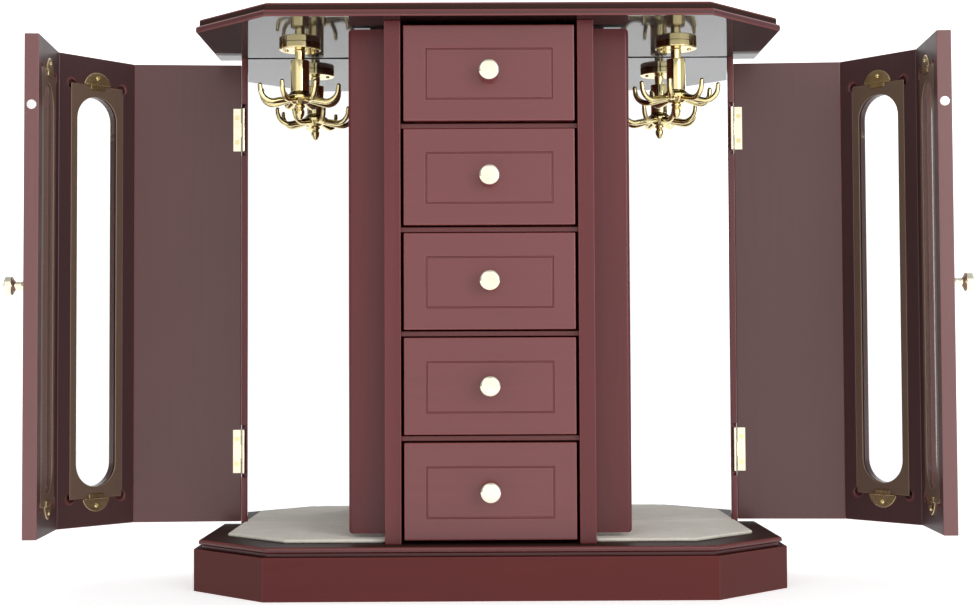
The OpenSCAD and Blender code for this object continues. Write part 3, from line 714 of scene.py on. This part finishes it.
# %% Moulded boards
def cut_outline(node):
    """The six corners of a board, anticlockwise from the back left, with the size of its 45 degree
    corners measured from where its front edge ends."""
    points = points_of(node)
    low, high = points.min(0), points.max(0)
    front_end = points[points[:, 1] < low[1] + 0.01 * MM, 0].max()
    c = high[0] - front_end
    return np.array([[low[0], high[1]], [low[0], low[1] + c], [low[0] + c, low[1]],
                     [high[0] - c, low[1]], [high[0], low[1] + c], [high[0], high[1]]])


EDGE_SHARE = np.array([1, 1, 1, 1, 1, 0.2])   # the back side, the last one, is only eased
ON_FACE = 0.02 * MM   # a face whose centre is this near to a flat side lies in it


def moulded(node, profile, radii, finish, upper, under, step):
    """A board with a moulded edge. The profile's corners are (distance in, height) in mm, and the
    edge keeps the first finish. All that is higher than step above the underside takes the upper
    one, and the underside takes the under one. Both are darker copies that paint in shade."""
    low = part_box(node)[0][2]
    edge = fillet(np.array(profile) * MM, np.array(radii) * MM, closed=False) + [0, low]
    rings = board_rings(cut_outline(node), edge, corner=0.8 * MM, share=EDGE_SHARE)
    piece = shown(node, skin(rings), finish)
    repainted(piece, upper, lambda centre: centre[:, 2] > low + step * MM)
    repainted(piece, under, lambda centre: centre[:, 2] < low + ON_FACE)
    print(f"{node}: {len(edge)} rings")


FLAT_IN = 3   # how far each profile runs on over the flat, in mm
TOP_T, TOP_STEP_Z, TOP_STEP = 8.5, 4.1, 2.2
moulded("top_board", [[FLAT_IN + 1, 0], [0, 0], [0, TOP_STEP_Z], [TOP_STEP, TOP_STEP_Z],
                      [TOP_STEP, TOP_T], [TOP_STEP + FLAT_IN, TOP_T]], [0, 1.0, 1.5, 0.5, 1.4, 0],
        cherry_board, upper=cherry_upper_shaded, under=cherry_under_shaded, step=TOP_STEP_Z)
FLOOR_T, NECK_Z, NECK, SHOULDER = 5.5, 2.6, 2.2, 0.7
moulded("floor_board", [[NECK + FLAT_IN, 0], [NECK, 0], [NECK, NECK_Z], [0, NECK_Z], [0, FLOOR_T],
                        [FLAT_IN, FLOOR_T]], [0, 0.2, 0.9, 0.7, 1.5, 0], cherry_board,
        upper=cherry_upper_shaded, under=cherry_under_shaded, step=FLOOR_T - SHOULDER)

# %% [markdown]
# ## Drawer fronts
# Each front is a board with a fine flat-bottomed groove that frames the knob. The board, the
# groove and the field inside it are one skin of rectangles, from the back face round the edge
# and across the groove to the middle. A rectangle is only as rounded as its cutter would leave.

# %% Drawer fronts
GROOVE_SIDE, GROOVE_HIGH, GROOVE_LOW = 12.9 * MM, 13.8 * MM, 12.6 * MM
GROOVE_W, GROOVE_DEEP, GROOVE_SLANT = 1.1, 0.9, 0.16
groove = fillet(np.array([[-1, 0], [0, 0], [GROOVE_SLANT, GROOVE_DEEP],
                          [GROOVE_W - GROOVE_SLANT, GROOVE_DEEP], [GROOVE_W, 0], [GROOVE_W + 1, 0]]) * MM,
                np.array([0, 0.25, 0.3, 0.3, 0.25, 0]) * MM, steps=3, closed=False)


def facing(rings, front):
    """Rings of (x, z, depth) as (x, y, z), with depth measured back from the front face."""
    return np.stack([rings[..., 0], front + rings[..., 2], rings[..., 1]], axis=-1)


for i in range(1, 6):
    node = f"drawer_{i}_front"
    low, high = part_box(node)
    deep = high[1] - low[1]
    edge = fillet([[2 * MM, deep], [0, deep], [0, 0], [2 * MM, 0]], [0, 0.4 * MM, 0.8 * MM, 0],
                  closed=False)
    board = board_rings(rectangle(low[0], high[0], low[2], high[2]), edge, corner=0.6 * MM)
    frame_line = rectangle(low[0] + GROOVE_SIDE, high[0] - GROOVE_SIDE,
                           low[2] + GROOVE_LOW, high[2] - GROOVE_HIGH)
    field = board_rings(frame_line, groove, corner=0.5 * MM)
    rings = facing(np.concatenate([board, field]), low[1])
    shown(node, skin(rings), cherry_front)
print("5 drawer fronts, each of", len(rings), "rings")

# %% [markdown]
# ## Knobs
# A small brass knob is turned on a lathe: a foot, a waist and a flattened mushroom head. The
# same profile of (radius, height) goes on every drawer and on both doors. It starts a hair inside
# the wood, so no light gets between the foot and the front.

# %% Knob profile
KNOB = fillet(np.array([[0, -0.2], [3.6, -0.2], [3.4, 1.0], [2.6, 2.6], [2.7, 6.2], [5.9, 7.8],
                        [6.0, 11.6], [5.0, 12.3], [0, 12.5]]) * MM,
              np.array([0, 0.2, 0.8, 2.2, 1.6, 0.9, 0.6, 1.5, 0]) * MM, closed=False)
knob_rings = turned(KNOB)
for i in range(1, 6):
    node = f"drawer_{i}_knob"
    low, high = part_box(node)
    middle = (low + high) / 2
    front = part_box(f"drawer_{i}_front")[0][1]
    rings = np.stack([middle[0] + knob_rings[..., 0], front - knob_rings[..., 2],
                      middle[2] + knob_rings[..., 1]], axis=-1)
    shown(node, skin(rings), knob_brass_lit)
print("5 knobs of", " by ".join(str(n) for n in knob_rings.shape[:2]), "points")

# %% [markdown]
# ## Doors: working in a closed door's axes
# A door is easier to shape closed. Its hinge joint gives the pin and the angle that it stands
# open by, so a point can be turned from the open place to the closed one and back. Each panel
# then has axes of its own: along it, up it, and out of its inner face.

# %% Panel axes
JOINTS = {joint["name"]: joint for joint in frame["joints"]}
PANEL_TURN = {"side_panel": 270, "corner_panel": 225, "front_panel": 180}


def panel_axes(side, panel):
    """Columns are the panel's along, up and out, at rest, for the right door. A closed panel runs
    at its own angle from +X. Opening turns that by the joint's upper limit."""
    opened = JOINTS[f"{side}_door_hinge"]["range_deg"][1]
    angle = math.radians(PANEL_TURN[panel] + opened)
    return np.column_stack([[math.cos(angle), math.sin(angle), 0], [0, 0, 1],
                            [math.sin(angle), -math.cos(angle), 0]])


def mirrored(points, side):
    """The left door is the right one's mirror image in X."""
    return points * [-1, 1, 1] if side == "left" else points


def in_panel(node, side, panel):
    """A node's points in the axes of one of its door's panels."""
    return mirrored(points_of(node), side) @ panel_axes(side, panel)


def to_rest(points, side, panel):
    """Points in a panel's axes, back in the frame, whatever the shape of the array."""
    return mirrored(points @ panel_axes(side, panel).T, side)


reach = in_panel("right_front_panel", "right", "front_panel")
print("a door's front panel is", ((reach.max(0) - reach.min(0)) / MM).round(1), "mm")

# %% [markdown]
# ## Door panels with windows
# A corner or front panel is a board with a long round-ended opening and, inside, a wider
# rectangular rebate for the pane. Cut along any line from the window's middle outwards, it
# always shows the same stepped section. So the panel is a closed loop of rings, each a rounded
# rectangle, and a round-ended window is just a rectangle with the largest possible radius.

# %% Window panels
WINDOW_W, WINDOW_H = 30 * MM, 253 * MM
REBATE, PANE_GAP = 2.8 * MM, 0.2 * MM
CUTTER, CUTTER_IN = 3 * MM, 1 * MM   # the router's radius, and how far in it stops from both sides
FIELD_IN = 3.4 * MM
ARRIS = 0.45 * MM
STEPS = 10   # every ring of a panel has the same number of points to a corner


def plates_in_panel(side, panel):
    """The box of a panel's own window plate and the panel's own box, both in its axes. A door's two
    plates are one node, and the panel's own lies flat against its inner face."""
    points = in_panel(f"{side}_window_mats", side, panel)
    board = in_panel(f"{side}_{panel}", side, panel)
    inner = board[:, 2].max()
    near = points[(points[:, 2] > inner - REBATE) & (points[:, 2] < inner + REBATE)
                  & (points[:, 0] > board[:, 0].min()) & (points[:, 0] < board[:, 0].max())]
    return near.min(0), near.max(0), board.min(0), board.max(0)


def ring(x, y, half_w, half_h, radius, depth):
    """A rounded rectangle about (x, y), at a height out of the panel."""
    corners = rectangle(x - half_w, x + half_w, y - half_h, y + half_h)
    return lifted(fillet(corners, radius, steps=STEPS), depth)


def cutter_stops(x, y, half_w, half_h):
    """Where the router's centre stops in the four corners of a rectangle about (x, y)."""
    half_w, half_h = half_w - CUTTER_IN, half_h - CUTTER_IN
    return rectangle(x - half_w, x + half_w, y - half_h, y + half_h)[:, None]


def routed(x, y, half_w, half_h, radius, depth):
    """A rectangle as a router leaves it: each corner is cut out by a circle about the place where
    the router stops. It meets both sides at the angle whose cosine is CUTTER_IN over radius."""
    meet = math.acos(CUTTER_IN / radius)
    quarter = np.arange(4)[:, None] * math.pi / 2
    angle = quarter + np.linspace(math.pi - meet, 1.5 * math.pi + meet, STEPS + 1)[None, :]
    arcs = cutter_stops(x, y, half_w, half_h) + radius * np.stack([np.cos(angle), np.sin(angle)], axis=-1)
    return lifted(arcs.reshape(-1, 2), depth)


def outer_rings(low, high, inner_low, inner_high):
    """The board's edge, from its inner face to its outer one. On mitred sides the inner face is
    shorter than the outer face, so the ring's ends slide along as it goes deeper."""
    thick = high[2] - low[2]
    edge = fillet([[3 * MM, 0], [0, 0], [0, thick], [3 * MM, thick]], [0, ARRIS, ARRIS, 0],
                  closed=False)
    rings = []
    for d, deep in edge:
        share = deep / thick
        x0 = inner_low + (low[0] - inner_low) * share + d
        x1 = inner_high + (high[0] - inner_high) * share - d
        corners = fillet(rectangle(x0, x1, low[1] + d, high[1] - d), 0.3 * MM, steps=STEPS)
        rings.append(lifted(corners, high[2] - deep))
    return rings


def field_ring(x, y, pane, low, high, inner_low, inner_high):
    """A rectangle just inside the board's edge, whose points stand where a fan of lines, 68 degrees
    to each side of the diagonal, meets it from each place where the router stops. So the faces
    between it and the router corners never fold over."""
    spread = np.linspace(-1, 1, STEPS + 1)[None, :] * math.radians(68)
    angle = (np.arange(4)[:, None] + 0.5) * math.pi / 2 + math.pi + spread
    ray = np.stack([np.cos(angle), np.sin(angle)], axis=-1)
    centre = cutter_stops(x, y, *pane)
    lower = np.array([inner_low, low[1]]) + FIELD_IN - centre
    upper = np.array([inner_high, high[1]]) - FIELD_IN - centre
    length = (np.where(ray > 0, upper, lower) / ray).min(axis=-1, keepdims=True)
    return lifted((centre + ray * length).reshape(-1, 2), high[2])


def window_rings(x, y, pane, inner, outer):
    """The opening, from the outer face inwards: a round-over, the opening's wall, the rebate's
    floor, and the rebate's wall with its router corners up to the inner face."""
    half = np.array([WINDOW_W, WINDOW_H]) / 2
    rings = [ring(x, y, *(half + out), half[0] + out, outer + up)
             for out, up in fillet([[3 * MM, 0], [0, 0], [0, 3 * MM]], [0, 1.4 * MM, 0], closed=False)]
    rings += [ring(x, y, *half, half[0], inner - REBATE)]
    rings += [routed(x, y, *(pane + out), CUTTER + out, inner - deep)
              for out, deep in [(0, REBATE), (0, 0.3 * MM), (0.3 * MM, 0), (1.0 * MM, 0)]]
    return rings


def in_inner_face(side, panel, inner):
    """A test for the faces that lie in a panel's inner face."""
    return lambda centre: (mirrored(centre, side) @ panel_axes(side, panel))[:, 2] > inner - ON_FACE


WINDOWS = []   # side, panel, the window's middle, the rebate's half sizes, the inner face, the board
for side in ("left", "right"):
    for panel in ("corner_panel", "front_panel"):
        plate_low, plate_high, low, high = plates_in_panel(side, panel)
        x, y = (plate_low + plate_high)[:2] / 2
        pane = (plate_high - plate_low)[:2] / 2 + PANE_GAP
        board = in_panel(f"{side}_{panel}", side, panel)
        on_face = board[board[:, 2] > high[2] - 0.01 * MM, 0]
        WINDOWS.append((side, panel, x, y, pane, high[2], low, high))
        rings = outer_rings(low, high, on_face.min(), on_face.max())
        rings += window_rings(x, y, pane, high[2], low[2])
        rings.append(field_ring(x, y, pane, low, high, on_face.min(), on_face.max()))
        rings = to_rest(np.stack(rings), side, panel)
        # front panels take the lighter copy, which paints in sheen; the corner panels take the door finish
        finish = cherry_door_front_lit if panel == "front_panel" else cherry_door
        piece = shown(f"{side}_{panel}", skin(rings, "loop"), finish)
        # the inner face takes the darker copy: painted shade
        repainted(piece, cherry_inner_shaded, in_inner_face(side, panel, high[2]))
        print(f"{side} {panel}: window plate {(2 * pane / MM).round(1)} mm with its gap")

# %% [markdown]
# ## Panes, window plates and clips
# From the outside in, a window is a clear pane in its rebate, a thin bronze-brown plate with the
# same round-ended opening, and a brass clip with one screw at each end. The plate is a loop of
# rings like the panel. A pane and a clip are flat outlines with softened edges, and a clip's tab
# is stiffened by a small fold.

# %% Panes and plates
PLATE_T = 0.8 * MM


def pane_surface(x, y, pane, inner):
    """A flat pane at the bottom of the rebate, with ground edges."""
    half, thick = pane - PANE_GAP, REBATE - PLATE_T
    edge = fillet([[1 * MM, 0], [0, 0], [0, thick], [1 * MM, thick]], [0, 0.2 * MM, 0.2 * MM, 0],
                  steps=2, closed=False)
    return np.stack([ring(x, y, *(half - d), max(0.5 * MM - d, LEAST_R), inner - REBATE + up)
                     for d, up in edge])


def plate_surface(x, y, pane, inner):
    """A stamped plate: its outer edge is a rounded rectangle and its inner edge the round-ended
    opening, both with the small roll-over that a stamping tool leaves."""
    outer, hole = pane - PANE_GAP, np.array([WINDOW_W, WINDOW_H]) / 2
    roll = fillet([[1 * MM, 0], [0, 0], [0, PLATE_T], [1 * MM, PLATE_T]],
                  [0, 0.1 * MM, 0.3 * MM, 0], steps=4, closed=False)
    rings = [ring(x, y, *(outer - d), max(0.9 * MM - d, LEAST_R), inner - PLATE_T + up)
             for d, up in roll]
    rings += [ring(x, y, *(hole + d), hole[0] + d, inner - PLATE_T + up) for d, up in roll[::-1]]
    return np.stack(rings)


for side in ("left", "right"):
    own = [window for window in WINDOWS if window[0] == side]
    panes = [skin(to_rest(pane_surface(*window[2:6]), side, window[1])) for window in own]
    plates = [skin(to_rest(plate_surface(*window[2:6]), side, window[1]), "loop") for window in own]
    shown(f"{side}_window_panes", joined(panes), glass)
    shown(f"{side}_window_mats", joined(plates), bronze)
print("4 panes and 4 plates")

# %% Clips
CLIP_W, CLIP_H, CLIP_T, TAB_W, TAB_H = np.array([21, 8.5, 0.9, 11, 3]) * MM
CAP_SHARE = 0.985   # of the full arc
BAR_HALF, BAR_W, BAR_UP = 0.43 * CLIP_W, 0.8 * MM, 0.5 * MM


def clip_outline(steps=18):
    """A circle's cap on a straight base, anticlockwise, with the tab hanging from the base. The
    circle's radius is (half the width squared + the height squared) over twice the height. The
    cap's arc stops a little early, so its ends stand 0.2 mm above the base."""
    radius = ((CLIP_W / 2) ** 2 + CLIP_H ** 2) / (2 * CLIP_H)
    spread = math.asin(min(1, CLIP_W / 2 / radius)) * CAP_SHARE
    angle = math.pi / 2 + np.linspace(-spread, spread, steps)
    cap = np.stack([radius * np.cos(angle), CLIP_H - radius + radius * np.sin(angle)], axis=1)
    tab = np.array([[-TAB_W / 2, 0], [-TAB_W / 2, -TAB_H], [TAB_W / 2, -TAB_H], [TAB_W / 2, 0]])
    return np.concatenate([cap, tab])


def clip_rings():
    """The clip's outline, repeated up its softened edge."""
    edge = fillet([[0.8 * MM, 0], [0, 0], [0, CLIP_T], [0.8 * MM, CLIP_T]],
                  [0, 0.1 * MM, 0.4 * MM, 0], steps=4, closed=False)
    return np.stack([lifted(inset(clip_outline(), d), up) for d, up in edge])


def bar_rings():
    """The fold that stiffens a clip: a rounded bar across the head of its tab."""
    high = CLIP_T + BAR_UP
    edge = fillet([[0, 0], [0, high], [0.35 * MM, high]], [0, 0.3 * MM, 0], steps=4, closed=False)
    outline = rectangle(-BAR_HALF, BAR_HALF, -BAR_W / 2, BAR_W / 2)
    return board_rings(outline, edge, corner=0.3 * MM)


def at_end(rings, x, y, pane, inner, flip):
    """Rings drawn about the head of a tab, moved to the top of a window, or turned to its bottom
    where flip is -1."""
    return (rings + [0, pane[1], 0]) * [flip, flip, 1] + [x, y, inner]


for side in ("left", "right"):
    clips = [skin(to_rest(at_end(rings, *window[2:6], flip), side, window[1]))
             for window in WINDOWS if window[0] == side for flip in (1, -1)
             for rings in (clip_rings(), bar_rings())]
    shown(f"{side}_window_clips", joined(clips), dark_brass)
    finished(f"{side}_door_screws", brass)
print("8 clips, their screws as they are")

# %% [markdown]
# ## Door knobs, magnets and hinges
# The door knob stands out of the front panel's outer face, half way up and close to its free
# edge. A round magnet sits in that edge and shows as a bright disc. The hinge leaves, pins and
# screws are small exact fittings that are already right, so they only take their metal.

# %% Door hardware
KNOB_EDGE, MAGNET_R, MAGNET_DOWN = 8 * MM, 3 * MM, 43 * MM
MAGNET_DEEP, MAGNET_PROUD = 2.8 * MM, 0.08 * MM
MAGNET = fillet([[0, -MAGNET_DEEP], [MAGNET_R, -MAGNET_DEEP], [MAGNET_R, MAGNET_PROUD],
                 [0, MAGNET_PROUD]], [0, 0.2 * MM, 0.35 * MM, 0], closed=False)
magnet_rings = turned(MAGNET, 40)
for side, panel, x, y, pane, inner, low, high in WINDOWS:
    if panel != "front_panel":
        continue
    rings = np.stack([high[0] - KNOB_EDGE + knob_rings[..., 0], y + knob_rings[..., 1],
                      low[2] - knob_rings[..., 2]], axis=-1)
    shown(f"{side}_door_knob", skin(to_rest(rings, side, panel)), knob_brass_lit)
    middle = (low[2] + high[2]) / 2
    rings = np.stack([high[0] + magnet_rings[..., 2], high[1] - MAGNET_DOWN + magnet_rings[..., 0],
                      middle + magnet_rings[..., 1]], axis=-1)
    shown(f"{side}_door_magnet", skin(to_rest(rings, side, panel)), nickel)
    finished(f"{side}_hinge_door_leaves", hinge_brass_lit)
finished("hinge_body_leaves", hinge_brass_lit)
finished("hinge_pins", hinge_brass_lit)
finished("fixing_screws", brass)
finished("catch_plates", nickel)
print("door knobs, magnets and hinges finished")

# %% [markdown]
# ## Necklace carousels
# A flange and a fixed spindle hang from the top board. A sleeve turns on the spindle and ends in
# a flared hub that carries eight hooks, and a small turned finial keeps it on. All of them are
# turned profiles of (radius, height below the top board) in mm, and the sleeve's is a closed one.
# Each hook is a rod carried along an arm, a bend and a rising leg.

# %% Turned parts of a carousel
SHARP = 0.1e-3   # in mm, a radius too small to see, for a corner that stays sharp
SPINDLE = fillet(np.array([[0, 0], [13.25, 0], [13.25, -4.2], [3.4, -4.2], [3.0, -10.4], [2.0, -10.4],
                           [2.0, -43.8], [0, -43.8]]) * MM,
                 (np.array([0, 0.2, 0.8, 0.9, 0.3, 0, 0.2, 0]) + SHARP) * MM, closed=False)
FINIAL = fillet(np.array([[2.06, -39.2], [3.2, -39.2], [3.2, -40.5], [2.1, -41.4], [2.95, -43.0],
                          [2.8, -45.2], [1.3, -48.0], [0, -48.6]]) * MM,
                np.array([0, 0.3, 0.3, 0.5, 0.8, 1.6, 0.7, 0]) * MM, closed=False)
SLEEVE = fillet(np.array([[2.06, -10.62], [6.0, -10.62], [6.0, -31.4], [9.0, -33.4], [8.7, -35.2],
                          [4.2, -38.7], [2.06, -39.0]]) * MM,
                np.array([0.1, 0.5, 2.0, 0.7, 1.2, 0.8, 0.1]) * MM)
AXES = {side: np.array(JOINTS[f"{side}_carousel_spin"]["pos_m"]) for side in ("left", "right")}
top_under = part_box("top_board")[0][2]
for node, profile in [("carousel_spindles", SPINDLE), ("carousel_finials", FINIAL)]:
    parts = [skin(turned(profile, 56) + [axis[0], axis[1], top_under]) for axis in AXES.values()]
    shown(node, joined(parts), brass)
print("carousel axes at", {side: (axis[:2] / MM).round(1).tolist() for side, axis in AXES.items()})

# %% Hooks
HOOKS, HOOK_TURN = 8, {"left": -18, "right": -15.5}
REACH, BEND, LOWEST, TIP = np.array([26.5, 8, 37.7, 26.5]) * MM
SLOPE, LEAN = 12, 6   # degrees
ROOT_X, ROD, ROD_TIP, TAPER_FROM = 3.8 * MM, 2.0 * MM, 1.35 * MM, 0.35


def hook_line():
    """(radius, height) down the middle of the rod: a straight arm, an arc that starts at the arm's
    slope and ends leaning out by LEAN degrees, and a straight leg. The leg's points crowd towards
    its tip, where the rod closes."""
    centre = np.array([REACH - BEND, BEND - LOWEST])
    angle = np.radians(np.linspace(-90 - SLOPE, -LEAN, 22))
    arc = centre + BEND * np.stack([np.cos(angle), np.sin(angle)], axis=1)
    slope = math.tan(math.radians(SLOPE))
    arm_x = np.linspace(ROOT_X, arc[0, 0], 6)[:-1]
    arm = np.stack([arm_x, arc[0, 1] + (arc[0, 0] - arm_x) * slope], axis=1)
    rise = np.linspace(0, 1, 14)[1:, None] ** 0.6 * (-TIP - arc[-1, 1])
    leg = arc[-1] + rise * [math.tan(math.radians(LEAN)), 1]
    return np.concatenate([arm, arc, leg])


def hook_surface(steps=16):
    """Circles across the rod's line, in the plane of its radius and height. The rod thins evenly
    past the share TAPER_FROM of its length. Over its last radius r it closes as a hemisphere: at x
    from the place where that starts, its radius is the root of r squared - x squared."""
    line = hook_line()
    along = np.gradient(line, axis=0)
    along /= np.linalg.norm(along, axis=1, keepdims=True)
    length = np.concatenate([[0], np.cumsum(np.linalg.norm(np.diff(line, axis=0), axis=1))])
    left = length[-1] - length
    share = np.clip((length / length[-1] - TAPER_FROM) / (1 - TAPER_FROM), 0, 1)
    radius = ROD + (ROD_TIP - ROD) * share
    radius = radius * np.sqrt(np.clip(1 - (1 - left / ROD_TIP).clip(0) ** 2, 0, 1))
    angle = np.linspace(0, 2 * math.pi, steps, endpoint=False)
    across = radius[:, None] * np.cos(angle)
    side = radius[:, None] * np.sin(angle)
    x = line[:, :1] - along[:, 1:] * across
    z = line[:, 1:] + along[:, :1] * across
    return np.stack([x, side, z], axis=-1)


hook = hook_surface()
for side, axis in AXES.items():
    parts = [skin(turned(SLEEVE, 56) + [axis[0], axis[1], top_under], "loop")]
    for k in range(HOOKS):
        angle = math.radians(-90 + HOOK_TURN[side] + k * 360 / HOOKS)
        x = hook[..., 0] * math.cos(angle) - hook[..., 1] * math.sin(angle)
        y = hook[..., 0] * math.sin(angle) + hook[..., 1] * math.cos(angle)
        parts.append(skin(np.stack([x + axis[0], y + axis[1], hook[..., 2] + top_under], axis=-1)))
    shown(f"{side}_carousel", joined(parts), brass, smooth=50)
print("2 carousels with", HOOKS, "hooks each")

# %% [markdown]
# ## Felt pads and linings
# A pad of ivory felt over thin foam lies in each compartment, inside the line of the closed
# door, and a thinner lining lies in each drawer. A cut pad has soft, slightly bulging edges and
# a top that is never quite flat. Simulating cloth would move it less than its own nap, so the
# crown and the faint waves are put in by formula.

# %% Pads
SWELL = 0.1   # how much of its thickness a pad swells by, from its edge to its middle
WAVE_X, WAVE_Y = 11 * MM, 9 * MM
PAD_CORNER = 2 * MM
GRID = 0.02 * MM


def pad_surface(outline, low, thick, bulge, wave):
    """Rings that shrink from the outline to its middle. The edge is a half ellipse: out by bulge
    times the cosine and up by the sine of one angle. With s falling from 1 at the edge to 0 in the
    middle, the top swells by SWELL times (1 - s squared) and carries two crossing sines that fade
    out at the edge with (1 - s to the fourth)."""
    middle = outline.mean(0)
    half = thick * (1 - SWELL) / 2
    rings = [lifted(fillet(inset(outline, bulge * (1 - math.cos(a))), PAD_CORNER),
                    low + half * (1 + math.sin(a)))
             for a in np.linspace(-math.pi / 2, math.pi / 2, 9)]
    s = np.linspace(0.97, 0.0, 16)[:, None, None]
    flat = middle + (rings[-1][None, :, :2] - middle) * s
    s = s[..., 0]
    crown = 2 * half + thick * SWELL * (1 - s ** 2)
    ripple = wave * np.sin(flat[..., 0] / WAVE_X) * np.sin(flat[..., 1] / WAVE_Y + 1) * (1 - s ** 4)
    top = np.concatenate([flat, (low + crown - wave + ripple)[..., None]], axis=-1)
    return np.concatenate([np.stack(rings), top])


def flat_corners(points):
    """The corners of a flat convex piece, anticlockwise: its points from above, to the nearest
    place on a fine grid and each place once, in order of their angle around the middle."""
    unique = np.unique((points[:, :2] / GRID).round(), axis=0) * GRID
    order = np.argsort(np.arctan2(*(unique - unique.mean(0))[:, ::-1].T))
    return unique[order]


pads = points_of("floor_pads")
low, high = pads[:, 2].min(), pads[:, 2].max()
parts = []
for sign in (-1, 1):
    outline = flat_corners(pads[pads[:, 0] * sign > 0])
    parts.append(skin(pad_surface(outline, low, high - low, 1.2 * MM, 0.12 * MM)))
shown("floor_pads", joined(parts), felt, smooth=80)
for i in range(1, 6):
    low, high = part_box(f"drawer_{i}_felt")
    outline = rectangle(low[0], high[0], low[1], high[1])
    lining = pad_surface(outline, low[2], high[2] - low[2], 0.6 * MM, 0.08 * MM)
    shown(f"drawer_{i}_felt", skin(lining), felt, smooth=80)
print("2 floor pads and 5 drawer linings")

# %% Sizes, and finish
low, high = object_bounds()
print("shown size in mm:", [round(x / MM, 1) for x in high - low])
